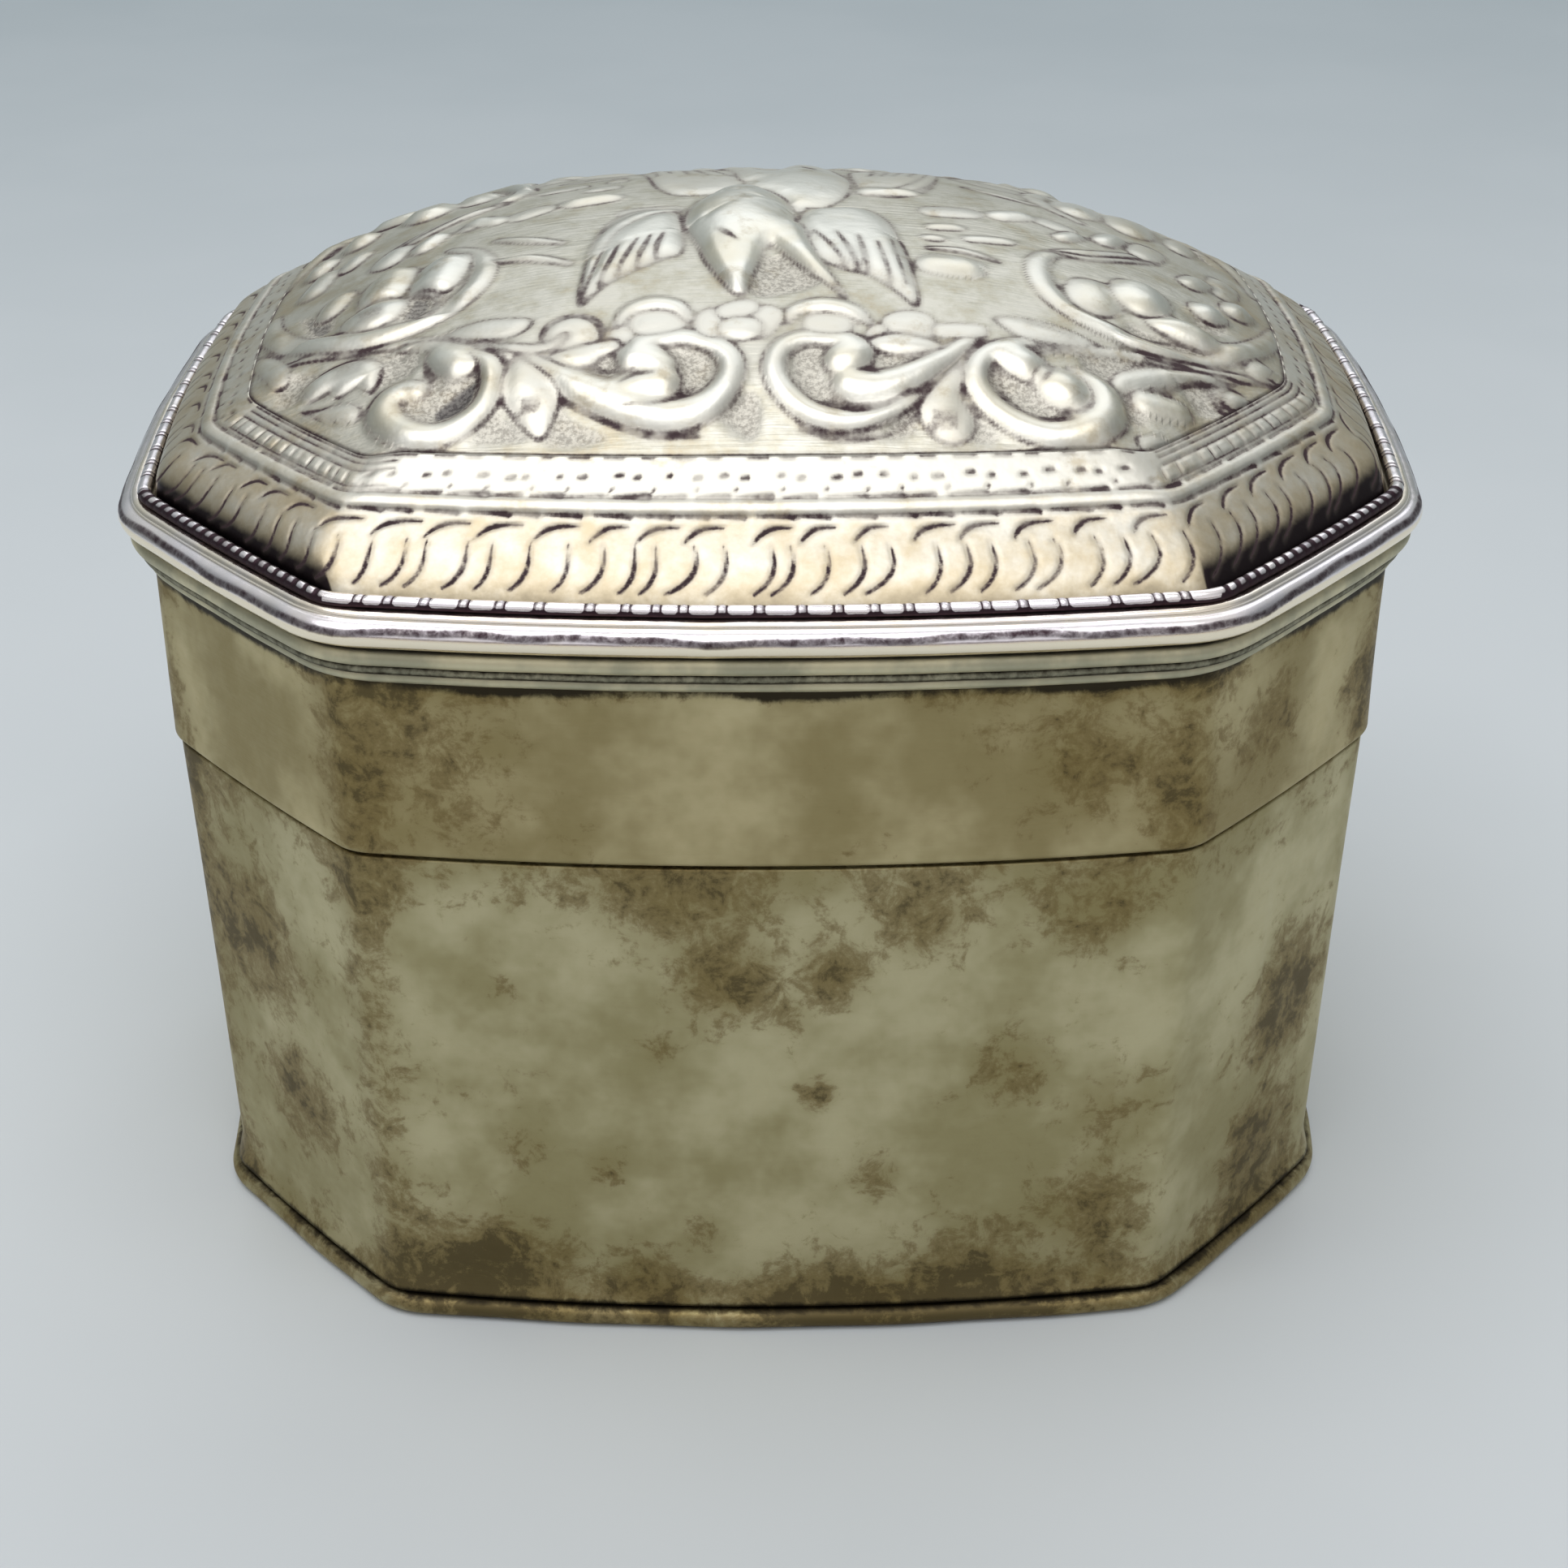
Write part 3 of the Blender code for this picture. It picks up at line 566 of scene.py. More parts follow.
front_y = -half_width - front_bow
body_blotches = [
    (-21, front_y, 5, 5.5, 1.1), (-16, front_y, 5.5, 3, 0.9), (-18, front_y, 29, 2.2, 0.7),
    (-3, front_y, 30, 4.5, 0.9), (4, front_y, 30.5, 3.2, 0.9), (1, front_y, 27.5, 3, 0.6),
    (-22, front_y, 20, 2.6, 0.8), (-18.5, front_y, 21, 2, 0.9), (-18, front_y, 15.5, 3, 0.8),
    (-12, front_y, 14, 2.2, 0.9), (3, front_y, 20.5, 2, 0.9), (-8, front_y, 24.5, 2.2, 0.6),
    (7, front_y, 13.5, 2.6, 0.8), (-9, front_y, 4.5, 3.5, 0.7), (-5, front_y, 8, 2.5, 0.6),
    (14, front_y, 3, 7, 0.8), (4, front_y, 2.5, 6, 0.7), (23, front_y, 9, 6, 0.9), (24, front_y, 18, 5, 0.7),
    (17, front_y, 22, 4, 0.7), (10, front_y, 34, 4, 0.6), (-6, front_y, 36, 6, 0.5),
    (22, front_y, 34, 4, 0.6), (-36, -22, 26, 7, 1.0), (-34, -25, 14, 6, 0.9), (37, -22, 20, 7, 1.0),
    (36, -24, 8, 6, 0.9), (41, -8, 24, 6, 0.8), (-42, -6, 22, 6, 0.8), (10, 34, 22, 9, 0.8),
    (-16, 35, 12, 7, 0.9), (28, 30, 30, 6, 0.8), (-34, 25, 26, 7, 0.8), (42, 10, 12, 6, 0.8),
    (-41, 12, 30, 6, 0.7),
]

# %% Base plate
plate_stations = 720
plate_inner = -18.0
plate_radius = base_thickness / 2
lip_middle = -lip_inset - plate_radius
plate_profile = np.concatenate([
    line((plate_inner, 0.0), (lip_middle, 0.0), 10),
    arc((lip_middle, plate_radius), plate_radius, -90, 90, 14),
    np.linspace((lip_middle, base_thickness), (plate_inner, base_thickness), 12)[1:],
])


def plate_sway(offset, height, walked):
    """The edge was filed by hand, so it gives way a little here and there, never outward."""
    edge = np.clip((offset + 4) / 4, 0, 1)
    return -0.10 * edge * (1 + wander(walked, [(0.5, 9, 0.4), (0.5, 23, 1.9)])), 0 * height


plate_grid = carry_round(plate_profile, lip_corner, plate_stations, plate_sway)
rows, columns = plate_grid.shape[:2]
plate_points = np.concatenate([plate_grid.reshape(-1, 3), [(0, 0, 0), (0, 0, base_thickness)]])
middle_low, middle_high = len(plate_points) - 2, len(plate_points) - 1
here = np.arange(columns)
following = (here + 1) % columns
low_fan = np.column_stack([following, here, np.full(columns, middle_low)])
top_start = (rows - 1) * columns
high_fan = np.column_stack([top_start + here, top_start + following, np.full(columns, middle_high)])
plate_grime = 0.55 + spots(plate_points, body_blotches)
# Painted shade: a dark line on the plate's top, where the wall stands on it.
plate_soot = bell(plate_points[:, 2] - base_thickness, 0.35) * 0.75
build_piece(
    "base_plate_edge", plate_points,
    [grid_faces(rows, columns, wrap_columns=True), low_fan, high_fan],
    body_finish, "box", ["base_plate"],
    {"grime": plate_grime, "soot": plate_soot},
)

# %% Body wall
wall_stations = 760
outer_heights = np.concatenate([
    np.linspace(wall_foot, wall_foot + flare_height, 12, endpoint=False),
    np.linspace(wall_foot + flare_height, seam_height - 0.15, 60),
])
flare_share = np.clip(1 - (outer_heights - wall_foot) / flare_height, 0, 1)
outer_offsets = wall_outside(outer_heights) + flare_reach * flare_share ** 2
inner_heights = np.linspace(seam_height - 0.1, wall_foot, 10)
wall_profile = np.concatenate([
    np.column_stack([outer_offsets, outer_heights]),
    [(wall_outside(seam_height) - 0.06, seam_height)],
    [(wall_outside(seam_height) - wall_thickness + 0.06, seam_height)],
    np.column_stack([wall_outside(inner_heights) - wall_thickness, inner_heights]),
])


def wall_sway(offset, height, walked):
    """Shallow dents of a hand-dressed sheet: slow waves along and up the wall, none at its two ends."""
    rise = np.clip((height - wall_foot) / (seam_height - wall_foot), 0, 1)
    dents = wander(walked, [(0.05, 11, 0.3), (0.045, 17, 2.0), (0.03, 29, 1.2)])
    across = np.sin(np.pi * rise) * np.cos(2.6 * rise + 0.02 * walked)
    return dents * across - 0.04 * np.sin(np.pi * rise), 0 * height


wall_grid = carry_round(wall_profile, fold_round, wall_stations, wall_sway)
above_foot, above_seam = wall_grid[..., 2] - wall_foot, wall_grid[..., 2] - seam_height
worn_folds = near_corners(wall_grid, 3.2) * (np.sin(wall_grid[..., 0] * 0.4) > -0.2)
wall_grime = spots(wall_grid, body_blotches) + 0.55 * worn_folds
# The wall darkens towards its foot and the seam, and painted shade lays a thin, nearly black line at each.
wall_grime += 0.5 * bell(above_foot, 3.0) + 0.45 * bell(above_seam, 5.0)
wall_soot = 0.75 * bell(above_foot, 0.5) + 0.5 * bell(above_seam, 0.25)
build_ring(
    "tapered_wall", wall_grid, body_finish, "box", "body_wall", "tarnished_silver",
    grime=wall_grime, soot=wall_soot,
)

# %% [markdown]
# Inside the wall stands a collar that the lid slides over. It only shows when the lid
# is off, and it is the cleanest metal of the box, rubbed bright at its top edge.

# %% Neck collar
collar_low, collar_high = box_of("neck_collar")
collar_stations = 640
seat_gap = 0.3
collar_thickness = 0.6
collar_lead = 0.4
skirt_thickness = 0.7
collar_bottom, collar_top = collar_low[2], collar_high[2]
upper = -skirt_thickness - seat_gap
lower = wall_outside(seam_height) - wall_thickness - seat_gap
lowest = wall_outside(collar_bottom) - wall_thickness - seat_gap
step_height = seam_height + seat_gap + upper - lower
collar_profile = np.concatenate([
    line((lowest, collar_bottom), (lower, seam_height), 10),
    line((lower, seam_height), (upper, step_height), 4),
    line((upper, step_height), (upper, collar_top - collar_lead), 16),
    arc((upper - collar_lead, collar_top - collar_lead), collar_lead, 0, 90, 6),
    line((upper - collar_thickness, collar_top), (upper - collar_thickness, step_height), 14),
    line((upper - collar_thickness, step_height), (lower - collar_thickness, seam_height), 4),
    np.linspace((lower - collar_thickness, seam_height), (lowest - collar_thickness, collar_bottom), 10),
])
collar_grid = carry_round(collar_profile, fold_round, collar_stations)
build_ring("neck_collar_sheet", collar_grid, collar_finish, "box", "neck_collar", "collar_silver")

# %% [markdown]
# The lid's skirt is a straight band of the same sheet. Its lower edge is turned in a
# hair, so the seam is a fine dark line. It has been rubbed more than the body, which
# leaves faint lines along it, and under the moulding a shadow is painted nearly black.

# %% Lid skirt
skirt_foot, skirt_top = skirt_low[2], skirt_high[2]
strip_low, strip_high = box_of("reeded_strip")
skirt_stations = 760
skirt_turn_height = 0.5
skirt_face_inset = 0.04
skirt_profile = np.concatenate([
    arc((-skirt_turn_height, skirt_foot + skirt_turn_height), skirt_turn_height, -75, 0, 6),
    np.linspace((0, skirt_foot + 0.7), (0, skirt_top), 30),
    [(-skirt_thickness, skirt_top)],
    np.linspace((-skirt_thickness, skirt_top - 0.2), (-skirt_thickness, skirt_foot), 6),
])
on_face = skirt_profile[:, 0] > -skirt_thickness
skirt_profile[on_face, 0] -= skirt_face_inset


def skirt_sway(offset, height, walked):
    """Slight dents that fade out at the seam and under the moulding, on the outer face alone."""
    rise = np.clip((height - skirt_foot) / (strip_low[2] - skirt_foot), 0, 1)
    outer = offset > -skirt_thickness / 2
    dents = wander(walked, [(0.03, 9, 1.0), (0.025, 21, 0.2), (0.015, 37, 2.2)])
    return outer * (dents - 0.05) * np.sin(np.pi * rise), 0 * height


skirt_grid = carry_round(skirt_profile, fold_round, skirt_stations, skirt_sway)
skirt_blotches = [
    (21, front_y, 47, 6, 0.85), (26, front_y, 44, 5, 0.7), (15, front_y, 49, 5, 0.5),
    (-24, front_y, 51, 3.5, 0.8), (-22, front_y, 46, 8, 0.75), (-14, front_y, 41, 4, 0.5),
    (6, front_y, 42, 5, 0.4), (33, -28, 46, 5, 0.9), (40, -18, 44, 5, 0.8), (-40, -17, 42, 4, 0.6),
    (20, 35, 46, 8, 0.8), (-22, 34, 44, 7, 0.7), (42, 8, 46, 6, 0.7),
]
below_strip = np.clip(strip_low[2] - skirt_grid[..., 2], 0, None)
skirt_grime = spots(skirt_grid, skirt_blotches) + 0.5 * near_corners(skirt_grid, 3.0)
skirt_grime += 0.5 * bell(below_strip, 1.6)
# Painted shadow: a dark band on the skirt right under the moulding, stronger and weaker along the round.
skirt_patches = 0.98 + 0.22 * np.sin(skirt_grid[..., 0] * 0.33 + 1.0)
build_ring(
    "lid_skirt_sheet", skirt_grid, skirt_finish, "lid", "lid_skirt", "tarnished_silver",
    grime=skirt_grime, soot=bell(below_strip, 1.05) * skirt_patches,
)

# %% [markdown]
# Three soldered strips make the moulding: a reeded strip, a half-round wire with a small
# fillet on its shoulder, and a round wire in the corner below the dome. Drawn wire is
# the smoothest metal here. It mirrors the room, and its lower side is painted dark as
# painted shade; the reed also gets a painted dark reflection and a painted warm reflection
# on its lower part, and the grooves between the beads hold old polish.

# %% Finish: drawn silver wire


def drawn_wire(name, bright, warm, groove, smooth):
    """Bright wire with streaks along it. The first attribute is 1 in the grooves, which hold dark dirt, and
    where shade and a dark reflection are painted on the wire; the second is 1 where the wire is dull and
    warm, by its own tone on the strip and as a painted reflection on the reed's lower part."""
    material, tree, place = new_material(name)
    hollow, tone = (add(tree, "Attribute", {"attribute_name": word}, "Fac") for word in ("hollow", "tone"))
    clouds = add(tree, "TexNoise", Vector=place, **features(5, 4, 0.6))
    streak = add(tree, "TexNoise", Vector=place, **features(0.7, 5, 0.7, 0.3))
    dents = add(tree, "TexNoise", Vector=place, **features(5, 2, 0.5))
    cloud = add(tree, "MapRange", smooth_step, Value=clouds, **span(0.38, 0.64))
    toned = add(tree, "Math", weighted_sum, s0=cloud, s1=-0.4, s2=tone)
    toned = add(tree, "MapRange", smooth_step, Value=toned, **span(-0.4, 1.0))
    # Dirt in the grooves and painted shade both pull the colour towards the dark one.
    dirt = add(tree, "Math", weighted_sum, s0=streak, s1=0.4, s2=hollow)
    dirt = add(tree, "MapRange", smooth_step, Value=dirt, **span(0.60, 1.0))
    film = add(tree, "Mix", colours, 2, s0=toned, s6=bright, s7=warm)
    film = add(tree, "Mix", colours, 2, s0=dirt, s6=film, s7=groove)
    roughness = add(tree, "MapRange", smooth_step, Value=streak, **span(0.3, 0.7, smooth, smooth + 0.1))
    roughness = add(tree, "Math", weighted_sum, s0=dirt, s1=0.3, s2=roughness)
    normal = None
    for height, depth in ((dents, 0.14), (streak, 0.008)):
        normal = add(tree, "Bump", Height=height, Distance=depth * metres, Strength=1.0, Normal=normal)
    finish_metal(tree, film, roughness, normal)
    return material


wire_finish = drawn_wire("drawn silver wire", "f4eef2", "faeed6", "3f3036", 0.17)
strip_finish = drawn_wire("drawn silver strip", "f6ebc6", "a3a18b", "2a2219", 0.48)

# %% Reeded strip
strip_foot, strip_top = strip_low[2], strip_high[2]
strip_stations = 900
wire_corner = 3.0
bead_steps = 13
bead_heights = np.array([0.80, 0.75, 1.15]) * (strip_top - strip_foot) / 2.7
bead_reaches = (0.60, 1.05, 1.55)
bead_radius_share = 0.54
bead_parts = []
bead_foot = strip_foot
for bead_height, reach in zip(bead_heights, bead_reaches):
    bead_radius = bead_height * bead_radius_share
    half_angle = math.degrees(math.asin(bead_height / 2 / bead_radius))
    bead_middle = (reach - bead_radius, bead_foot + bead_height / 2)
    bead_parts.append(arc(bead_middle, bead_radius, -half_angle, half_angle, bead_steps))
    bead_foot += bead_height
strip_profile = np.concatenate([[(seat_gap, strip_foot)], *bead_parts, [(seat_gap, strip_top)]])
bead_edge = 1 - np.sin(np.linspace(0, np.pi, bead_steps)) ** 0.4
strip_edge = np.concatenate([[0], bead_edge, bead_edge + 0.56, bead_edge, [0]])
strip_edge[-4:] *= 0.3
strip_tone = np.repeat([0.6, 0.75, 1.0, 0.7, 0.7], [1, bead_steps, bead_steps, bead_steps, 1])


def strip_sway(offset, height, walked):
    """The strip was bent by hand: its beads move in by up to a tenth of a millimetre."""
    return -0.05 * (offset > seat_gap) * (1 + wander(walked, [(0.5, 7, 0.8), (0.5, 31, 2.1)])), 0 * height


strip_grid = carry_round(strip_profile, wire_corner, strip_stations, strip_sway)
build_ring(
    "reeded_strip_beads", strip_grid, strip_finish, "lid", "reeded_strip", "drawn_silver",
    hollow=strip_edge[:, None], tone=strip_tone[:, None],
)

# %% Rim wire
rim_low, rim_high = box_of("rim_wire")
rim_stations = 1000
reed_steps = 30
fillet_steps = 12
reed_radius = 0.90
reed_reach = rim_high[0] - half_length - end_bow
reed_middle = rim_low[2] + reed_radius
fillet_radius = 0.36
fillet_reach = 1.25
fillet_middle = rim_high[2] - 0.06 - fillet_radius
reed_angle = np.linspace(-90, 86, reed_steps)
rim_profile = np.concatenate([
    [(seat_gap, rim_low[2])], arc((reed_reach - reed_radius, reed_middle), reed_radius, -90, 86, reed_steps),
    arc((fillet_reach - fillet_radius, fillet_middle), fillet_radius, -5, 90, fillet_steps),
    [(seat_gap, fillet_middle + fillet_radius)],
])
reed_edge = np.linspace(1, 0, reed_steps) ** 7 + 0.3 * np.linspace(0, 1, reed_steps) ** 12
rim_edge = np.concatenate([[0], reed_edge, 0.35 * np.linspace(1, 0, fillet_steps) ** 4, [0.1]])
# Painted reflection: the reed's lower part, below about ten degrees up its round, is painted warm like the
# floor it mirrors.
reed_tone = np.clip((16 - reed_angle) / 10, 0, 1)
rim_tone = np.concatenate([[0], 1.2 * reed_tone, np.full(fillet_steps + 1, 0.6)])


def rim_sway(offset, height, walked):
    """Knocks and bends in the wire: it dips in and sinks by a tenth of a millimetre in places, and has
    one clear dent near the middle of the front."""
    dent = bell(walked - front_middle + 4, 1.6)
    wave = wander(walked, [(0.5, 6, 0.1), (0.3, 19, 1.4), (0.2, 41, 0.6)])
    outer = np.where(offset > seat_gap, 1.0, 0.0)
    return -outer * (0.07 * (1 + wave) + 0.10 * dent), outer * (-0.03 * (1 + wave) - 0.08 * dent)


rim_grid = carry_round(rim_profile, wire_corner, rim_stations, rim_sway)
rim_walked = even_stations(rim_stations)[1]
# Painted reflection: a dark line wanders along the reed about thirty degrees above its middle, where the dark
# room low in front mirrors.
line_angle = 33 + 7 * wander(rim_walked, [(1.0, 9, 0.6), (0.7, 23, 2.2), (0.5, 47, 1.0)])
rim_hollow = np.repeat(rim_edge[:, None], rim_stations, axis=1)
rim_hollow[1 : 1 + reed_steps] += 0.70 * np.exp(-(((reed_angle[:, None] - line_angle) / 24) ** 4))
build_ring(
    "rim_wire_reed", rim_grid, wire_finish, "lid", "rim_wire", "drawn_silver",
    hollow=rim_hollow, tone=rim_tone[:, None],
)

# %% [markdown]
# The round wire was nicked with a punch: every two or three millimetres on the sides and
# ends, and close as beads on the cuts. A nick is a narrow waist in the wire with two
# small burrs beside it, so the wire's radius changes along the round and nothing else.

# %% Notched wire
notch_low = box_of("notched_wire")[0]
wire_radius = 0.48
wire_middle = notch_low[2] - 0.22 + wire_radius
wire_out = 0.10
notch_pitch = 2.5
bead_pitch = 1.05
nick_depth = 0.14
draw = np.random.default_rng(5)

wire_station, wire_walked = even_stations(2400)
wire_side = np.floor(wire_station).astype(int) % sides
on_cut = wire_side % 2 == 1
notch_gaps = notch_pitch * (1 + 0.2 * draw.standard_normal(140))
notches = np.cumsum(np.clip(notch_gaps, 1.7, 3.3))
notches = notches[notches < perimeter - 1]
notch_gap = np.abs(wire_walked[:, None] - notches[None]).min(axis=1)
nick = nick_depth * bell(notch_gap - 0.30, 0.13) - 0.04 * np.exp(-((notch_gap / 0.2) ** 4))
beading = 0.16 * (1 - np.abs(np.sin(np.pi * wire_walked / bead_pitch))) ** 1.5
waist = np.where(on_cut, beading, nick)
wire_angle = np.linspace(0, 2 * np.pi, 16, endpoint=False)[:, None]
struck = np.clip(0.35 + 0.65 * np.cos(wire_angle - math.radians(75)), 0, 1)
wire_round = wire_radius * (0.97 - waist[None] * struck)
wire_offset = wire_out + wire_round * np.cos(wire_angle)
wire_height = wire_middle + wire_round * np.sin(wire_angle)
wire_flat = plan_point(wire_offset, wire_station[None], 1.4)
wire_grid = np.concatenate([wire_flat, wire_height[..., None]], axis=-1)
# Painted shade: the wire's lower side and its nicks are painted dark. On the cuts the whole wire is painted
# dark, but for painted highlights on the beads' tops.
wire_shade = np.clip((0.30 - np.sin(wire_angle)) / 0.4, 0, 1)
notch_shade = 0.85 * np.clip(waist / nick_depth, 0, 1) + 0.55 * np.exp(-((notch_gap / 0.2) ** 4))
knocked = 0.5 + 0.5 * np.sin(wire_walked * 1.3 + 2 * np.sin(wire_walked * 0.41))
glint = np.clip((np.cos(wire_angle - math.radians(80)) - 0.5) / 0.35, 0, 1)
glint = glint * np.clip(np.abs(np.sin(np.pi * wire_walked / bead_pitch)) - 0.35, 0, 0.5) * 2
cut_hollow = 1 - 0.75 * glint * (0.55 + 0.45 * knocked)
wire_hollow = np.where(on_cut[None], cut_hollow, wire_shade + notch_shade[None])
build_ring(
    "notched_wire_round", wire_grid, wire_finish, "lid", "notched_wire", "drawn_silver",
    hollow=wire_hollow, tone=0.0,
)

# %% [markdown]
# The dome was rubbed bright by hands and cloths, but polish and sulphide stay wherever a
# tool went in. So the finish reads five values off the mesh: the distance to the nearest
# chased line, which is black at its bottom, how matted the ground is, how high the form
# stands, where the ground is open, and how far it has tarnished, which at the foot of the
# border's band also carries painted shade, nearly black. High places are nearly white and
# mirror the room, low places are duller and warmer.

# %% Finish: chased silver
chased_bright = "ebeae0"
chased_warm = "e0dac6"
chased_low = "d8d5ca"
chased_ground = "b5b2a0"
chased_film = "c3b598"
chased_stain = "94835d"
chased_shade = "7a7064"
chased_dark = "584a4c"
chased_soot = "2e2628"
mat_light = "cdc8bc"
mat_dark = "7d766c"
mat_oxide = "565357"

chased_finish, tree, place = new_material("raised and chased silver")
line_gap, mat, rise, ground, tarnish = (
    add(tree, "Attribute", {"attribute_name": word}, "Fac")
    for word in ("line", "mat", "rise", "ground", "tarnish")
)
warm_clouds = add(tree, "TexNoise", Vector=place, **features(7, 3, 0.6))
film = add(tree, "TexNoise", Vector=place, **features(3.2, 5, 0.65))
speckle = add(tree, "TexNoise", Vector=place, **features(0.30, 3, 0.65))
rubbing = add(tree, "TexNoise", Vector=place, **features(2.6, 3, 0.6))
hammering = add(tree, "TexNoise", Vector=place, **features(2.2, 3, 0.6))
along = add(tree, "Mapping", Vector=place, Scale=(0.06, 1.0, 1.0))
graver = add(tree, "TexNoise", Vector=along, **features(0.32, 2, 0.5))
print("raised and chased silver has", len(tree.nodes), "nodes so far")

# %% Where each tone of the chased silver lies
high = add(tree, "Math", weighted_sum, s0=film, s1=0.25, s2=rise)
high = add(tree, "MapRange", smooth_step, Value=high, **span(-0.05, 0.75))
warmth = add(tree, "MapRange", smooth_step, Value=warm_clouds, **span(0.42, 0.68))
open_ground = add(tree, "MapRange", smooth_step, Value=film, **span(0.38, 0.62, 0.25, 0.75))
open_ground = add(tree, "Math", product, s0=ground, s1=open_ground)
stain = add(tree, "MapRange", smooth_step, Value=film, **span(0.56, 0.72, 0.0, 0.35))
cloudy = add(tree, "Math", product, s0=film, s1=2.0)
cloudy = add(tree, "Math", weighted_sum, s0=tarnish, s1=0.8, s2=cloudy)
cloudy = add(tree, "MapRange", smooth_step, Value=cloudy, **span(1.0, 2.1))
# Painted shade: nearly black where the tarnish value is high, which is mostly at the foot of the border's
# band.
sooty = add(tree, "Math", weighted_sum, s0=film, s1=0.9, s2=tarnish)
sooty = add(tree, "MapRange", smooth_step, Value=sooty, **span(1.35, 2.3))
near_line = add(tree, "MapRange", smooth_step, Value=line_gap, **span(0.02, 0.36, 0.24, 0.0))
pits = add(tree, "MapRange", smooth_step, Value=speckle, **span(0.36, 0.62))
oxide = add(tree, "MapRange", smooth_step, Value=mat, **span(0.7, 1.0, 0.0, 0.7))

# %% The dark of the chased lines, worn away here and there
uneven = add(tree, "Math", s0=speckle, s1=-0.5)
broken = add(tree, "Math", weighted_sum, s0=uneven, s1=0.14, s2=line_gap)
in_line = add(tree, "MapRange", smooth_step, Value=broken, **span(-0.06, 0.12, 1.0, 0.0))
worn = add(tree, "MapRange", smooth_step, Value=rubbing, **span(0.38, 0.62, 0.25, 0.95))
worn = add(tree, "Math", weighted_sum, s0=tarnish, s1=0.6, s2=worn)
dark_line = add(tree, "Math", product, s0=worn, s1=in_line)

# %% Colour, roughness and bumps of the chased silver
clean = add(tree, "Mix", colours, 2, s0=warmth, s6=chased_bright, s7=chased_warm)
pitted = add(tree, "Mix", colours, 2, s0=pits, s6=mat_dark, s7=mat_light)
pitted = add(tree, "Mix", colours, 2, s0=oxide, s6=pitted, s7=mat_oxide)
chased_colour = chased_low
for share, coat in (
    (high, clean), (open_ground, chased_ground), (stain, chased_stain), (cloudy, chased_film),
    (sooty, chased_soot), (near_line, chased_shade), (mat, pitted), (dark_line, chased_dark),
):
    chased_colour = add(tree, "Mix", colours, 2, s0=share, s6=chased_colour, s7=coat)
roughness = add(tree, "MapRange", smooth_step, Value=high, **span(0.0, 1.0, 0.44, 0.36))
for part, rougher in ((mat, 0.25), (dark_line, 0.3)):
    roughness = add(tree, "Math", weighted_sum, s0=part, s1=rougher, s2=roughness)
pit_height = add(tree, "Math", product, s0=speckle, s1=mat)
graver_height = add(tree, "Math", product, s0=graver, s1=ground)
normal = None
for height, depth in ((hammering, 0.06), (pit_height, 0.06), (graver_height, 0.05)):
    normal = add(tree, "Bump", Height=height, Distance=depth * metres, Strength=1.0, Normal=normal)
finish_metal(tree, chased_colour, roughness, normal)
print("and", len(tree.nodes), "in all")

# %% [markdown]
# The lid is the piece that took a craftsman days. A disc of silver was raised into a
# low dome, set in pitch, and worked from both sides: bosses and scrolls pushed up from
# behind, outlines and matting punched down from the front.
# Here the plain dome is a height over the plan, and the ornament is drawn on it like
# that craftsman would: first the matted ground, then each stem, scroll, leaf and boss,
# every one laid over the ones before. Drawing fills four values for each point of the
# surface: how far it is raised, how near the next chased line is, how matted it is, and
# whether it is open ground.

# %% The plain dome
dome_low = box_of("lid_dome")[0]
sheet_thickness = 0.7
flange_top = dome_low[2] + sheet_thickness
foot_offset = -0.6
border_offset = -4.9
field_offset = -9.1
border_height = flange_top + 3.7
crown_height = 11.0
crown_power = 2.7
band_swell = 0.45
pull_run = 3.4
border_oval_spare = 1.0
field_oval_spare = 1.9


def dome_ring(offset, station):
    """A ring of the dome: the plan at an offset. The lid's maker drew the band steeper at the ends and the
    left cuts, so those sides are pulled out, by a quarter sine over the band."""
    offset = np.asarray(offset, float)
    pull = np.sin(np.pi / 2 * np.clip((foot_offset - offset) / pull_run, 0, 1))
    return plan_point(offset, station, fold_round, pull)


border_ring = dome_ring(border_offset, fine_stations)
border_angle = np.arctan2(border_ring[:, 1], border_ring[:, 0])
border_radius = np.linalg.norm(border_ring, axis=1)
ring_order = np.argsort(border_angle)
oval_length = half_length + border_offset + border_oval_spare
oval_width = half_width + border_offset + front_bow


def crown_share(x, y):
    """0 at the middle of the dome and 1 at its border. Along each ray the rings change from the octagon at
    the border to an oval in the middle, so a radius r is s * (s * octagon + (1 - s) * oval), solved for s."""
    radius, angle = np.hypot(x, y), np.arctan2(y, x)
    octagon = np.interp(angle, border_angle[ring_order], border_radius[ring_order], period=2 * np.pi)
    oval = 1 / np.hypot(np.cos(angle) / oval_length, np.sin(angle) / oval_width)
    return 2 * radius / (oval + np.sqrt(oval ** 2 + 4 * (octagon - oval) * radius))


def dome_height(x, y):
    """The plain dome over the plan: flat in the middle, steeper towards the border."""
    return border_height + crown_height * (1 - crown_share(x, y) ** crown_power)

# %% Paths and outlines


def smooth_path(points, steps=8):
    """A curve through given points: between two of them a cubic that leaves each one towards the
    line between its neighbours. Every column, such as x, y and half-width, is smoothed alike."""
    p = np.array(points, float)
    p = np.vstack([2 * p[0] - p[1], p, 2 * p[-1] - p[-2]])
    t = np.linspace(0, 1, steps, endpoint=False)[:, None, None]
    a, b, c, d = p[:-3], p[1:-2], p[2:-1], p[3:]
    curve = 2 * b + (c - a) * t + (2 * a - 5 * b + 4 * c - d) * t ** 2 + (3 * b - a - 3 * c + d) * t ** 3
    curve = curve.transpose(1, 0, 2).reshape(-1, p.shape[1]) / 2
    return np.vstack([curve, p[-2]])


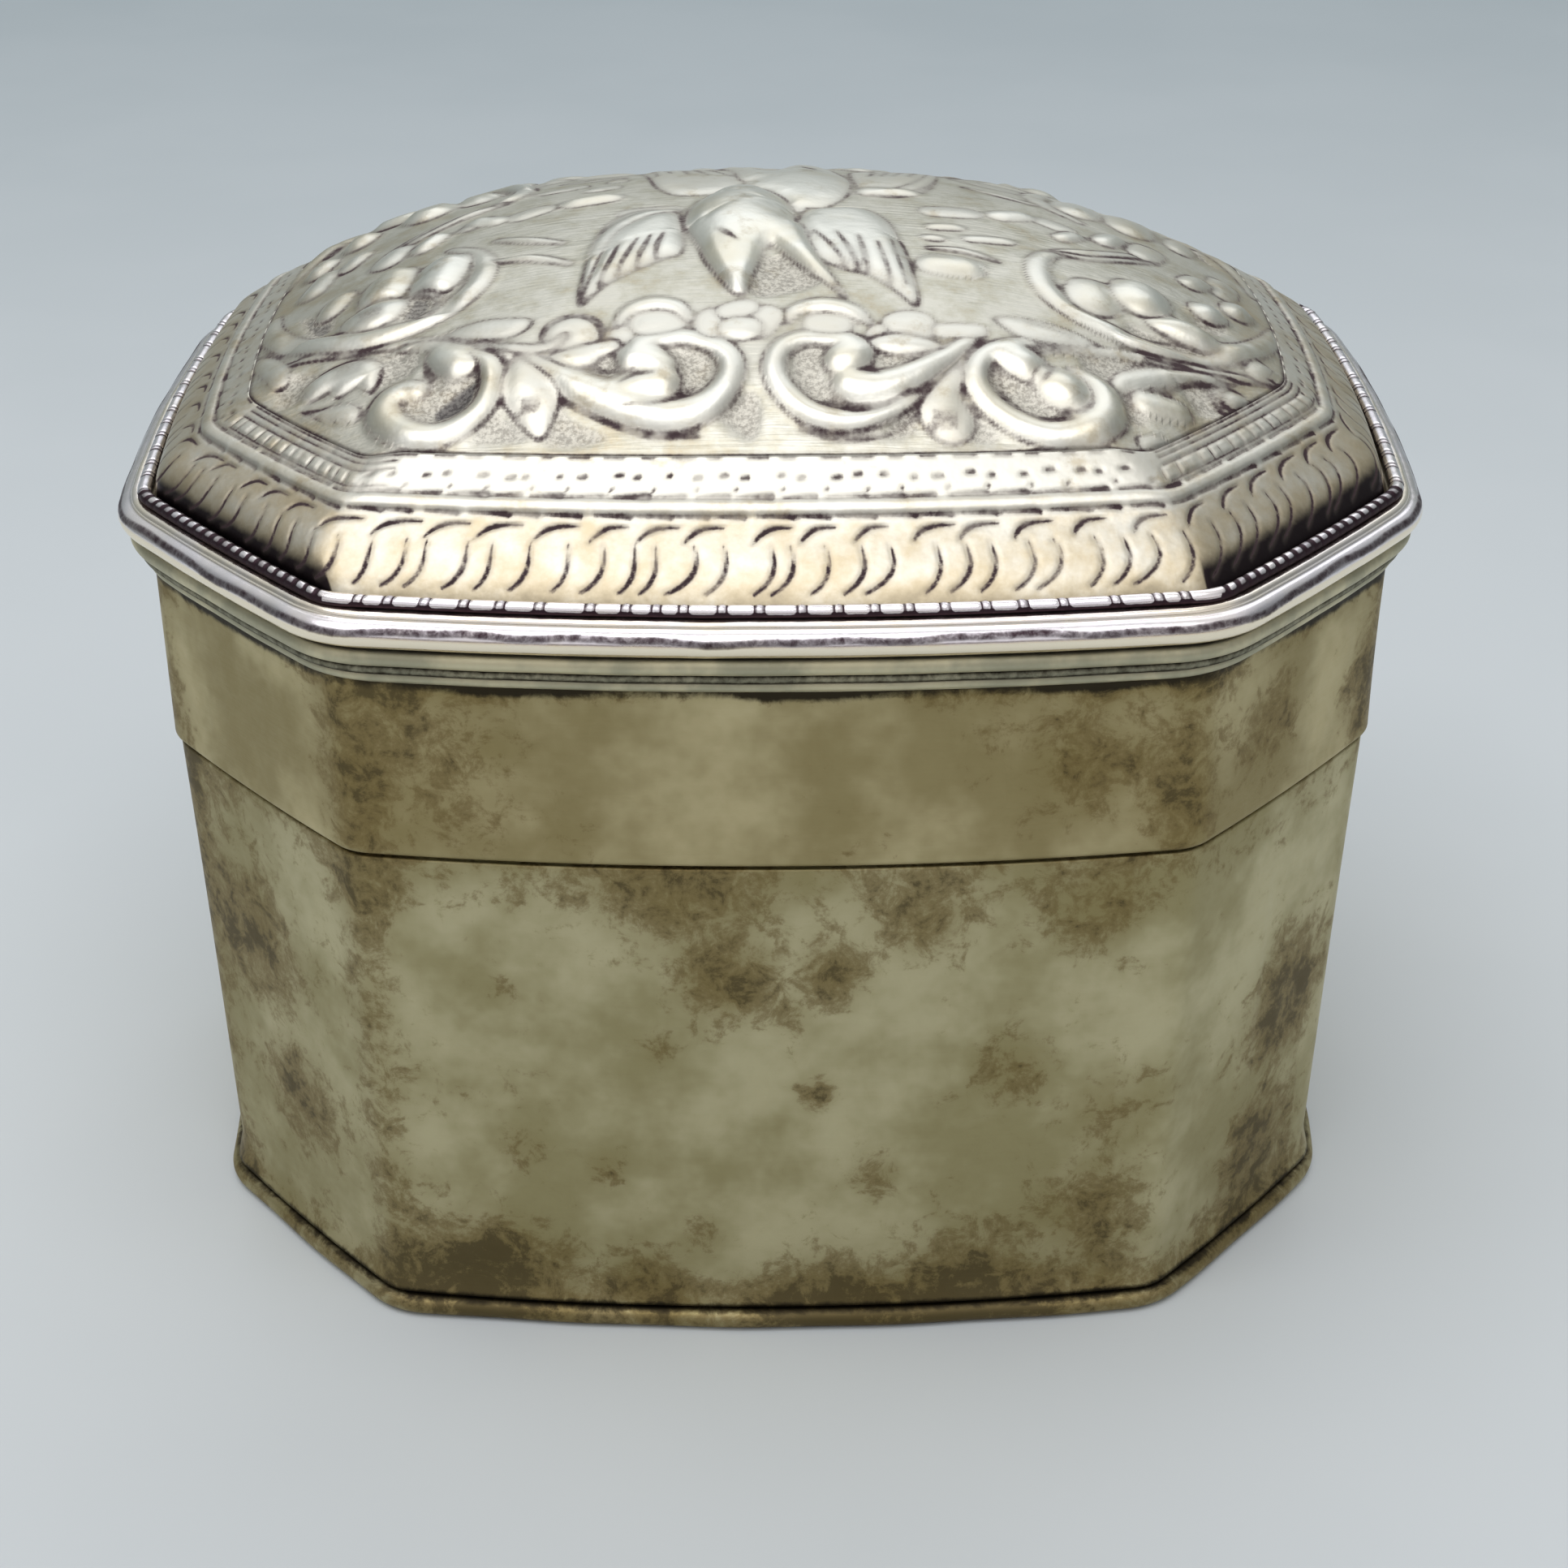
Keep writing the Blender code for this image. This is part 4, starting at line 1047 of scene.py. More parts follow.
def local(field, path, reach):
    """The numbers of the field's points near a path."""
    low, high = path[:, :2].min(axis=0) - reach, path[:, :2].max(axis=0) + reach
    inside = (field.x > low[0]) & (field.x < high[0]) & (field.y > low[1]) & (field.y < high[1])
    return np.nonzero(inside)[0]


def to_path(field, near, path):
    """For each point, its distance to the nearest piece of a path, less the half-width there, and that
    half-width."""
    start, step = path[:-1], np.diff(path, axis=0)
    away_x = field.x[near][:, None] - start[:, 0]
    away_y = field.y[near][:, None] - start[:, 1]
    length = (step[:, 0] ** 2 + step[:, 1] ** 2) + 1e-12
    along = np.clip((away_x * step[:, 0] + away_y * step[:, 1]) / length, 0, 1)
    gap = np.hypot(away_x - along * step[:, 0], away_y - along * step[:, 1])
    width = start[:, 2] + along * step[:, 2]
    edge = gap - width
    nearest = edge.argmin(axis=1)[:, None]
    return np.take_along_axis(edge, nearest, 1)[:, 0], np.take_along_axis(width, nearest, 1)[:, 0]


def inside_loop(field, near, loop):
    """True for points inside a closed outline: a ray to the right crosses it an odd number of times."""
    px, py = field.x[near][:, None], field.y[near][:, None]
    ax, ay = loop[:-1, 0], loop[:-1, 1]
    bx, by = loop[1:, 0], loop[1:, 1]
    crosses = ((ay > py) != (by > py)) & (px < ax + (bx - ax) * (py - ay) / (by - ay + 1e-12))
    return crosses.sum(axis=1) % 2 == 1


def to_loop(field, outline, reach):
    """The points near a closed outline, and how far outside it each one lies, negative inside."""
    loop = smooth_path([*outline, outline[0]], 5)
    loop = np.column_stack([loop, np.zeros(len(loop))])
    near = local(field, loop, reach)
    edge = to_path(field, near, loop)[0]
    return near, np.where(inside_loop(field, near, loop), -edge, edge)

# %% Raised forms
relief_share = 0.62
no_line = 3.0


def blank(x, y, ground):
    """A surface to draw on: no relief, no line nearby and no matting. Ground is 1 where it is open."""
    nothing = np.zeros(len(x))
    return SimpleNamespace(
        x=x, y=y, rise=nothing, line=nothing + no_line, mat=nothing.copy(), ground=nothing + ground, lift=1.0,
    )


def turned(field, shift, lift):
    """The same surface seen turned half a round, so that the drawing repeats at the back, at its own lift."""
    return SimpleNamespace(**{**vars(field), "x": -field.x, "y": shift - field.y, "lift": lift})


def lay(field, near, edge, pillow, line_width, sink):
    """Lays one raised form over what is there. Edge is the distance outside its outline, negative inside,
    and pillow its own height. It hides the lines below it, and its outline is chased."""
    inside = edge < 0
    below = field.rise[near]
    trench = 0.5 * sink * bell(edge, 0.28)
    over = field.lift * pillow + 0.3 * np.clip(below, 0, None) * np.clip(-edge, 0, 1)
    field.rise[near] = np.where(inside, over, below * (1 - 0.5 * bell(edge, 0.5))) - trench
    outline = np.abs(edge) - line_width
    field.line[near] = np.where(inside, outline, np.minimum(field.line[near], outline))
    field.mat[near] = np.where(inside, 0, field.mat[near])
    field.ground[near] = np.where(inside, 0, field.ground[near])


def form(field, *parts, height=0.7, line_width=0.06, sink=0.16):
    """One raised form of several strokes that run into each other without a line. Each part is a path of
    (x, y, half-width). Across a stroke the height is a parabola drawn a little fuller, and where strokes
    meet, their heights are joined by the sixth root of the sum of sixth powers, which rounds the corner."""
    paths = [smooth_path(part) for part in parts]
    widest = max(path[:, 2].max() for path in paths)
    near = local(field, np.vstack(paths), widest + 0.8)
    edges, pillows = [], []
    for path in paths:
        edge, width = to_path(field, near, path)
        depth = np.clip(-edge / width, 0, 1)
        edges.append(edge)
        pillows.append(height * np.sqrt(width / widest) * (1 - (1 - depth) ** 2))
    pillow = (np.array(pillows) ** 6).sum(axis=0) ** (1 / 6)
    lay(field, near, np.min(edges, axis=0), relief_share * pillow, line_width, sink)

# %% Bosses, petals and leaves


def boss(field, x, y, half_length, half_width, lean=0, height=0.9, line_width=0.05, sink=0.14):
    """A raised oval: its middle, its two half sizes, and how far its long axis turns, in degrees."""
    turn = math.radians(lean)
    away = half_length - half_width
    ends = np.array([(-away, half_width), (0, half_width * 1.06), (away, half_width)])
    points = np.column_stack([x + ends[:, 0] * math.cos(turn), y + ends[:, 0] * math.sin(turn), ends[:, 1]])
    form(field, points, height=height, line_width=line_width, sink=sink)


def petal(field, x, y, half_length, half_width, lean, height):
    """A low oval with hardly any outline."""
    boss(field, x, y, half_length, half_width, lean, height, 0.0, 0.05)


def leaf(field, outline, height=0.5, shoulder=0.8, line_width=0.06, sink=0.14):
    """A raised leaf inside a closed outline of given points."""
    near, edge = to_loop(field, outline, 0.8)
    depth = np.clip(-edge / shoulder, 0, 1)
    lay(field, near, edge, relief_share * height * (1 - (1 - depth) ** 2), line_width, sink)

# %% Cut lines and matted ground


def engrave(field, points, width=0.09, depth=0.12):
    """A cut line: points along it, with a half-width that swells and fades if each has a third value."""
    points = [(*point[:2], point[2] if len(point) > 2 else width) for point in points]
    path = smooth_path(points)
    near = local(field, path, 0.8)
    edge = to_path(field, near, path)[0]
    field.rise[near] -= depth * bell(np.clip(edge + width, 0, None), 0.16)
    field.line[near] = np.minimum(field.line[near], edge)


def matting(field, outline, depth=0.25, dark=0.6):
    """Ground between forms, punched down and matted inside a closed outline. Dark is how much of its old
    oxide is left."""
    near, edge = to_loop(field, outline, 0.6)
    share = np.clip(0.5 - edge / 0.3, 0, 1)
    field.rise[near] = np.minimum(field.rise[near], 0) - depth * share
    field.mat[near] = np.maximum(field.mat[near], dark * share)
    field.ground[near] *= 1 - share

# %% [markdown]
# The ornament follows a common pattern of such boxes: along each long side, four
# scrolls that curl over a pair of seeds, leaves between them, small curls above, a
# large scroll over each end, and in the middle a bud between two wings. Each list below
# holds places read off the photograph's front half, in millimetres from the
# middle of the lid, x to the right and y to the back. The third number is a half-width.

# %% Ground that is matted


def draw_mats(field):
    """The punched grounds of one long side, between the scrolls and inside them."""
    for depth, outline in (
        (0.25, [(-19.4, -25.4), (-18.3, -23.2), (-17.0, -24.2), (-15.8, -25.5)]),
        (0.25, [(-13.9, -22.6), (-13.1, -24.3), (-10.6, -25.8), (-14.5, -25.9)]),
        (0.35, [(-3.6, -24.6), (-1.4, -22.9), (-0.7, -24.0), (-1.2, -26.2)]),
        (0.25, [(8.9, -23.6), (9.4, -25.4), (7.4, -25.8)]),
        (0.25, [(13.2, -24.2), (12.8, -25.8), (14.8, -25.5)]),
        (0.35, [(-11.4, -19.4), (-9.4, -18.9), (-9.6, -20.9), (-11.8, -20.9)]),
        (0.30, [(6.9, -19.4), (10.8, -19.3), (9.4, -20.8), (7.2, -20.7)]),
        (0.25, [(-26.6, -14.8), (-24.0, -15.6), (-23.6, -17.8), (-26.0, -18.6)]),
        (0.25, [(-33.8, -13.2), (-31.0, -14.6), (-30.2, -16.4), (-33.2, -17.0)]),
        (0.30, [(22.0, -19.4), (24.4, -19.9), (24.8, -22.2), (23.2, -22.8)]),
        (0.25, [(20.4, -17.4), (25.0, -16.8), (22.8, -19.0), (21.1, -19.2)]),
        (0.25, [(27.6, -17.6), (29.3, -16.2), (30.2, -18.6), (28.6, -19.6)]),
        (0.30, [(-1.4, -8.6), (2.0, -9.0), (3.6, -12.0), (1.2, -13.8), (-1.4, -13.8)]),
    ):
        matting(field, outline, depth)

# %% The outer left scroll


def draw_scroll_far_left(field):
    """The outer left scroll: a band that curls over a two-lobed petal, with a matted dip below it."""
    matting(field, [(-25.0, -19.5), (-19.2, -19.2), (-18.8, -22.4), (-21.8, -24.3), (-25.0, -22.6)], 0.35)
    matting(field, [(-22.4, -22.4), (-20.6, -20.8), (-18.9, -20.4), (-18.9, -22.2), (-20.2, -23.6),
                    (-21.8, -23.8)], 0.35, 1.0)
    form(field,
         [(-24.8, -15.2, 0.35), (-21.7, -16.4, 0.6), (-19.4, -18.2, 0.8), (-18.3, -20.5, 0.85),
          (-18.8, -22.8, 0.9), (-20.6, -24.3, 0.95), (-22.7, -24.6, 1.05), (-24.5, -23.4, 1.15),
          (-25.5, -21.6, 1.2), (-25.3, -20.3, 1.15), (-24.5, -19.9, 1.0), (-23.4, -20.3, 0.9)],
         [(-22.1, -17.3, 1.0), (-21.2, -18.1, 1.5), (-20.6, -18.8, 1.45)], height=1.05)
    engrave(field, [(-23.0, -17.6, 0.04), (-22.9, -18.5, 0.13), (-22.3, -19.5, 0.05)], depth=0.3)
    engrave(field, [(-19.9, -18.1, 0.02), (-19.2, -19.6, 0.05), (-19.6, -21.2, 0.02)])

# %% The inner left scroll


def draw_scroll_near_left(field):
    """The inner left scroll, whose stem crosses from the far left, swells and curls round from below."""
    matting(field, [(-7.2, -19.4), (-4.6, -19.6), (-3.3, -21.6), (-4.2, -23.4), (-6.4, -23.8),
                    (-6.4, -21.6)], 0.35)
    form(field,
         [(-19.6, -16.9, 0.35), (-17.6, -18.4, 0.6), (-15.2, -20.2, 0.95), (-12.6, -22.0, 1.25),
          (-9.6, -23.6, 1.4), (-6.6, -24.5, 1.25), (-4.2, -23.9, 1.1), (-2.8, -22.2, 1.0),
          (-2.7, -20.4, 0.9), (-3.9, -19.0, 0.8), (-6.0, -18.3, 0.8), (-8.0, -18.5, 0.85),
          (-9.3, -19.3, 0.95), (-9.3, -20.4, 0.75)],
         [(-9.0, -19.7, 0.8), (-8.0, -20.2, 1.25), (-7.2, -20.8, 1.1)],
         [(-10.8, -22.6, 0.8), (-9.1, -22.3, 1.25), (-7.3, -22.1, 1.5)], height=1.05)
    engrave(field, [(-9.9, -22.2, 0.03), (-8.9, -21.6, 0.12), (-7.6, -21.6, 0.04)], depth=0.3)
    engrave(field, [(-9.6, -23.9, 0.02), (-7.8, -23.9, 0.06), (-6.0, -23.4, 0.06), (-5.0, -22.4, 0.02)])
    engrave(field, [(-14.6, -22.4, 0.03), (-11.6, -24.3, 0.06), (-8.2, -25.8, 0.05), (-4.6, -26.0, 0.03)])

# %% The inner right scroll


def draw_scroll_near_right(field):
    """The inner right scroll: a band round a seed and the thick end of its own stem."""
    matting(field, [(1.4, -19.8), (3.4, -19.4), (3.4, -21.6), (4.4, -23.5), (6.2, -24.2), (3.4, -24.0),
                    (1.6, -22.6)], 0.3)
    form(field,
         [(9.7, -22.9, 0.3), (7.8, -24.1, 0.6), (5.2, -24.9, 0.8), (2.6, -24.5, 0.9), (0.9, -23.0, 0.9),
          (0.2, -21.2, 0.85), (0.7, -19.6, 0.8), (2.2, -18.6, 0.75), (4.4, -18.5, 0.85), (5.9, -19.3, 0.8)],
         [(6.0, -19.3, 0.85), (5.4, -20.0, 1.4), (4.7, -20.5, 1.35)],
         [(13.6, -17.7, 0.45), (11.8, -19.4, 0.7), (9.9, -21.0, 1.0), (7.8, -22.2, 1.25), (5.9, -22.5, 1.4),
          (5.2, -22.3, 1.35)], height=1.05)
    engrave(field, [(5.6, -21.4, 0.03), (6.4, -21.2, 0.11), (7.0, -21.6, 0.04)], depth=0.3)
    engrave(field, [(3.6, -23.4, 0.03), (5.2, -24.3, 0.10), (7.4, -23.9, 0.06), (9.0, -22.6, 0.02)])
    engrave(field, [(1.8, -25.6, 0.03), (4.4, -26.2, 0.05), (7.6, -25.7, 0.05), (10.0, -23.9, 0.03)])

# %% The outer right scroll


def draw_scroll_far_right(field):
    """The outer right scroll, with the heaviest head of the four."""
    matting(field, [(14.4, -20.2), (16.6, -21.2), (18.8, -22.6), (20.6, -23.2), (18.4, -24.2), (15.6, -23.4),
                    (14.2, -21.8)], 0.3)
    form(field,
         [(19.8, -16.9, 0.3), (16.8, -17.7, 0.5), (14.5, -19.0, 0.75), (13.4, -21.0, 0.9),
          (14.1, -23.0, 0.95), (16.0, -24.4, 1.0), (18.6, -24.9, 1.1), (21.0, -24.0, 1.45),
          (21.9, -22.2, 1.6), (21.4, -20.6, 1.3), (20.2, -19.8, 0.8)],
         [(15.1, -18.9, 0.8), (16.2, -19.5, 1.4), (17.2, -20.1, 1.35)], height=1.05)
    boss(field, 19.1, -21.4, 2.0, 1.7, -35, 1.1, 0.02)
    engrave(field, [(18.6, -19.5, 0.03), (18.3, -20.5, 0.11), (17.8, -21.3, 0.03)], depth=0.3)
    engrave(field, [(14.9, -20.4, 0.03), (15.4, -22.4, 0.06), (17.4, -24.0, 0.08), (19.8, -23.9, 0.04)])
    engrave(field, [(19.2, -23.0, 0.02), (20.4, -23.2, 0.08), (21.1, -22.2, 0.03)])

# %% Leaves along one long side


def draw_leaves(field):
    """Two hanging leaves between the scrolls, their veins, and the leaflets on the long stems."""
    leaf(field, [(-16.7, -19.0), (-17.6, -20.8), (-17.4, -22.8), (-16.2, -24.6), (-14.9, -25.6),
                 (-14.1, -24.2), (-13.8, -22.4), (-15.0, -20.6)], 0.5, 1.6)
    leaf(field, [(12.4, -20.0), (10.6, -22.2), (9.6, -23.8), (9.9, -25.2), (11.2, -26.1), (12.7, -25.8),
                 (13.3, -24.5), (12.4, -23.0), (12.6, -21.2)], 0.5, 1.6)
    for x in (10.5, 11.0, 11.5, 12.0):
        engrave(field, [(x, -24.0, 0.01), (x, -24.7, 0.03), (x + 0.05, -25.3, 0.01)], 0.03, 0.04)
    for x in (-16.3, -15.8, -15.3):
        engrave(field, [(x, -22.7, 0.01), (x + 0.25, -23.2, 0.03), (x, -23.8, 0.01)], 0.03, 0.04)
    leaf(field, [(-22.4, -14.9), (-19.8, -14.3), (-17.4, -14.7), (-16.0, -15.4), (-16.4, -16.5),
                 (-17.8, -17.0), (-20.2, -16.2)], 0.35, 1.0)
    leaf(field, [(22.4, -15.9), (19.6, -14.9), (17.0, -14.8), (15.0, -15.4), (15.8, -16.6), (17.0, -17.2),
                 (20.0, -16.9)], 0.35, 1.0)
    engrave(field, [(17.2, -15.6, 0.01), (18.6, -15.6, 0.03), (20.2, -15.9, 0.01)], 0.03, 0.04)
    leaf(field, [(-15.2, -19.2), (-12.6, -18.6), (-10.4, -18.2), (-9.9, -19.1), (-11.2, -19.8),
                 (-12.0, -20.6), (-13.4, -20.4)], 0.4, 0.9)
    engrave(field, [(-12.4, -20.4, 0.04), (-11.4, -20.6, 0.12), (-10.4, -20.9, 0.04)])
    leaf(field, [(6.3, -18.6), (8.0, -17.9), (10.0, -18.1), (11.6, -18.8), (10.0, -19.5), (8.2, -19.8),
                 (6.8, -19.4)], 0.4, 0.9)

# %% Small curls and petals above the scrolls


def draw_curls(field):
    """Small volutes and petals above the scrolls, low and soft, with punched outlines."""
    boss(field, -13.2, -17.3, 2.1, 1.9, 0, 0.35)
    form(field, [(-21.8, -15.6, 0.2), (-18.8, -17.4, 0.35), (-16.4, -18.4, 0.45), (-14.7, -18.4, 0.4),
                 (-13.7, -17.6, 0.3)], height=0.45)
    engrave(field, [(-15.2, -17.6, 0.03), (-14.6, -16.2, 0.09), (-13.0, -15.6, 0.09), (-11.6, -16.6, 0.09),
                    (-11.1, -18.4, 0.10)])
    petal(field, -9.9, -17.7, 1.4, 0.9, 75, 0.25)
    petal(field, -7.4, -16.7, 2.0, 1.3, 10, 0.25)
    form(field, [(-10.2, -16.9, 0.3), (-9.5, -15.5, 0.6), (-8.0, -14.8, 0.8), (-6.4, -15.2, 0.7),
                 (-5.4, -16.6, 0.35)], height=0.65, line_width=0.03, sink=0.06)
    for oval in (
        (-3.7, -17.0, 1.6, 1.3, 80, 0.25), (-0.6, -17.0, 1.8, 1.2, 60, 0.25),
        (-2.2, -15.7, 1.5, 0.9, 20, 0.2), (-2.0, -17.7, 1.5, 1.1, 0, 0.35),
        (3.8, -17.2, 1.7, 1.0, 0, 0.25),
    ):
        petal(field, *oval)
    form(field, [(1.2, -17.0, 0.25), (1.7, -15.9, 0.6), (3.4, -15.3, 0.85), (5.2, -15.7, 0.75),
                 (6.6, -17.0, 0.3)], height=0.7, line_width=0.03, sink=0.06)
    for oval in (
        (9.2, -17.0, 1.9, 1.45, 10, 0.3), (7.0, -17.9, 0.9, 0.6, 60, 0.25),
        (12.6, -17.2, 1.9, 0.7, 5, 0.25),
    ):
        petal(field, *oval)

# %% Long stems from both ends


def draw_stems(field):
    """The long stems that run in from both ends above the scrolls, each a pair of ridges."""
    form(field, [(-33.0, -12.2, 0.3), (-29.4, -13.4, 0.5), (-24.6, -14.7, 0.5), (-21.6, -15.8, 0.45),
                 (-19.4, -17.2, 0.35)], height=0.5)
    form(field, [(34.6, -13.3, 0.3), (29.8, -14.9, 0.5), (25.0, -15.9, 0.5), (21.0, -16.9, 0.55),
                 (17.0, -18.0, 0.7), (13.4, -19.2, 0.6)], height=0.6)
    engrave(field, [(28.4, -15.2, 0.04), (26.8, -15.5, 0.13), (25.2, -15.8, 0.05)])

# %% Sprigs in the two corners


def draw_corner_sprigs(field):
    """A three-lobed leaf in the left corner and a curled foot with a seed in the right one."""
    leaf(field, [(-31.8, -16.2), (-31.0, -17.6), (-29.6, -17.4), (-28.9, -18.3), (-27.6, -17.9),
                 (-26.6, -19.0), (-26.1, -17.4), (-26.5, -15.6), (-28.6, -14.7), (-30.8, -15.2)], 0.6, 1.0)
    for x in (-29.4, -28.6, -27.8):
        engrave(field, [(x, -15.3, 0.01), (x + 0.3, -15.9, 0.04), (x + 0.2, -16.5, 0.01)], 0.03, 0.05)
    leaf(field, [(-31.6, -18.2), (-29.8, -18.9), (-28.2, -19.2), (-27.2, -20.2), (-27.4, -21.4),
                 (-29.0, -20.6), (-30.8, -19.2)], 0.45, 0.7)
    leaf(field, [(-36.4, -7.0), (-34.6, -9.4), (-33.0, -12.6), (-32.9, -14.6), (-33.8, -14.8), (-35.0, -12.4),
                 (-36.2, -9.4)], 0.55, 0.8)
    form(field, [(31.4, -14.9, 0.3), (28.6, -16.1, 0.6), (26.0, -17.4, 0.85), (23.8, -18.8, 0.9),
                 (22.8, -20.0, 0.5)], height=0.6)
    boss(field, 25.9, -20.4, 2.2, 1.1, 8, 0.85)
    engrave(field, [(29.0, -16.3, 0.06), (27.4, -17.6, 0.14), (26.2, -19.0, 0.16)])
    form(field, [(30.6, -15.6, 0.3), (29.9, -17.0, 0.4), (30.2, -18.2, 0.3)], height=0.4)
    for oval in (
        (31.4, -16.8, 1.1, 0.8, 60, 0.5), (25.0, -24.0, 1.3, 0.7, 25, 0.4),
        (33.6, -12.4, 1.5, 0.8, 65, 0.5),
    ):
        boss(field, *oval)

# %% The scroll over the left end


def draw_end_scroll_left(field):
    """The large left scroll: a wide band round four bosses and a curl, and two lobes behind it."""
    form(field, [(-36.0, -0.5, 0.6), (-35.4, -4.6, 0.9), (-33.4, -8.6, 1.0), (-30.4, -11.6, 1.1),
                 (-26.6, -13.0, 1.15), (-22.8, -12.2, 1.1), (-20.4, -9.8, 1.0), (-19.8, -6.6, 0.9),
                 (-20.8, -3.4, 0.7), (-22.8, -1.2, 0.4)], height=0.75)
    matting(field, [(-26.0, -8.6), (-22.4, -8.2), (-22.4, -11.2), (-25.2, -11.6)], 0.3, 0.9)
    matting(field, [(-33.6, -3.6), (-31.0, -6.0), (-30.6, -9.0), (-32.2, -8.2)], 0.3, 0.9)
    for oval in (
        (-23.0, -6.0, 3.4, 1.9, 82, 1.2), (-26.9, -5.2, 3.3, 1.9, 84, 1.2),
        (-27.4, -9.6, 2.4, 2.0, 0, 0.9), (-30.8, -4.6, 2.2, 1.2, 75, 0.8),
    ):
        boss(field, *oval)
    form(field, [(-24.3, -8.4, 0.25), (-23.0, -9.6, 0.35), (-23.0, -11.2, 0.3), (-24.2, -12.0, 0.2)],
         height=0.5)
    for x in (-28.4, -27.7, -27.0):
        engrave(field, [(x, -9.4, 0.01), (x + 0.3, -10.0, 0.04), (x + 0.1, -10.7, 0.01)], 0.03, 0.05)
    boss(field, -33.0, 2.6, 2.6, 1.2, 78, 0.8)
    boss(field, -27.4, 1.6, 2.2, 1.3, 70, 0.6)

# %% The scroll over the right end


def draw_end_scroll_right(field):
    """The large right scroll: a wide band round six bosses, a thin stem along it, and two lobes behind."""
    form(field, [(36.4, -2.6, 0.5), (35.0, -6.8, 0.8), (32.8, -10.6, 0.95), (29.4, -13.3, 1.0),
                 (24.8, -14.2, 1.0), (20.8, -12.9, 1.0), (18.8, -10.2, 0.95), (18.6, -6.8, 0.85),
                 (20.0, -4.2, 0.7), (23.0, -2.2, 0.55), (26.2, 0.2, 0.4)], height=0.75)
    matting(field, [(24.4, -12.0), (26.0, -12.6), (30.4, -12.8), (27.6, -13.6), (24.6, -13.2)], 0.3)
    matting(field, [(29.6, -7.2), (32.0, -7.0), (31.4, -9.2), (29.6, -9.4)], 0.3)
    for oval in (
        (22.3, -9.9, 2.5, 2.0, 80, 0.7), (28.2, -11.2, 2.7, 1.4, -12, 1.05),
        (25.7, -8.2, 2.8, 2.1, 85, 1.2), (30.8, -6.3, 1.7, 1.4, 60, 0.95),
        (33.4, -3.0, 1.8, 1.2, 70, 0.9), (30.6, -0.6, 1.9, 1.0, 60, 0.6),
    ):
        boss(field, *oval)
    form(field, [(19.4, -4.0, 0.2), (22.4, -3.6, 0.35), (25.6, -1.4, 0.35), (28.0, 0.6, 0.2)], height=0.4)
    engrave(field, [(20.6, -8.6, 0.03), (20.0, -10.4, 0.08), (21.4, -12.6, 0.10), (24.4, -13.4, 0.04)])
    boss(field, 24.6, 2.2, 1.9, 1.0, 60, 0.7)
    boss(field, 21.4, 0.2, 1.6, 0.8, 50, 0.6)

# %% The bud between its wings


def draw_bud(field):
    """A plump bud that splits into two feet over a matted dip, with a wing on either side."""
    leaf(field, [(-6.6, 0.6), (-9.4, 0.8), (-11.4, -1.4), (-12.3, -5.2), (-12.7, -9.4), (-12.9, -14.4),
                 (-11.2, -12.2), (-9.2, -10.4), (-7.4, -9.0), (-6.0, -7.4)], 0.75, 1.6)
    form(field, [(-7.0, 0.4, 0.4), (-9.2, -0.8, 0.6), (-11.0, -3.4, 0.6), (-12.0, -6.8, 0.5),
                 (-12.5, -10.8, 0.3), (-12.8, -13.8, 0.1)], height=0.6, line_width=0.02, sink=0.04)
    for path in (
        [(-10.4, -6.2, 0.02), (-11.0, -9.4, 0.10), (-11.7, -12.3, 0.04)],
        [(-9.2, -5.8, 0.02), (-9.9, -8.6, 0.10), (-10.5, -11.2, 0.04)],
        [(-8.3, -5.4, 0.02), (-8.8, -7.8, 0.12), (-9.2, -10.0, 0.04)],
        [(-7.4, -5.0, 0.02), (-7.8, -7.2, 0.12), (-7.9, -9.0, 0.04)],
        [(1.4, -4.6, 0.02), (2.9, -7.6, 0.12), (4.4, -10.0, 0.04)],
    ):
        engrave(field, path, 0.1, 0.2)
    leaf(field, [(2.6, 0.4), (6.4, 0.8), (8.2, -1.6), (9.0, -5.4), (9.6, -9.4), (9.9, -14.8), (8.0, -12.8),
                 (6.6, -11.4), (4.8, -10.6), (3.0, -8.6), (1.6, -5.0)], 0.75, 1.6)
    for path in (
        [(3.0, -4.8, 0.02), (4.2, -7.6, 0.10), (5.2, -10.4, 0.04)],
        [(4.6, -5.2, 0.02), (5.4, -8.0, 0.12), (6.0, -10.8, 0.04)],
        [(6.1, -5.8, 0.02), (6.4, -8.4, 0.12), (6.7, -11.2, 0.04)],
        [(7.4, -6.8, 0.02), (7.8, -9.6, 0.10), (8.2, -12.4, 0.04)],
        [(8.4, -6.0, 0.01), (8.8, -9.6, 0.05), (9.2, -12.8, 0.02)],
    ):
        engrave(field, path, 0.1, 0.2)
    form(field,
         [(-2.0, 3.2, 2.2), (-2.1, 0.6, 3.5), (-2.1, -2.6, 3.95), (-2.3, -5.0, 3.2), (-2.6, -7.0, 2.4),
          (-2.6, -9.0, 2.0), (-2.4, -11.5, 1.3), (-2.1, -13.6, 0.6)],
         [(0.4, -4.2, 2.0), (1.6, -7.4, 1.25), (3.0, -10.6, 0.75), (5.0, -14.2, 0.15)],
         height=2.4)
    engrave(field, [(-3.6, -6.0, 0.03), (-3.0, -6.9, 0.16), (-2.3, -7.9, 0.04)], 0.1, 0.25)

# %% Loose lumps in the open ground


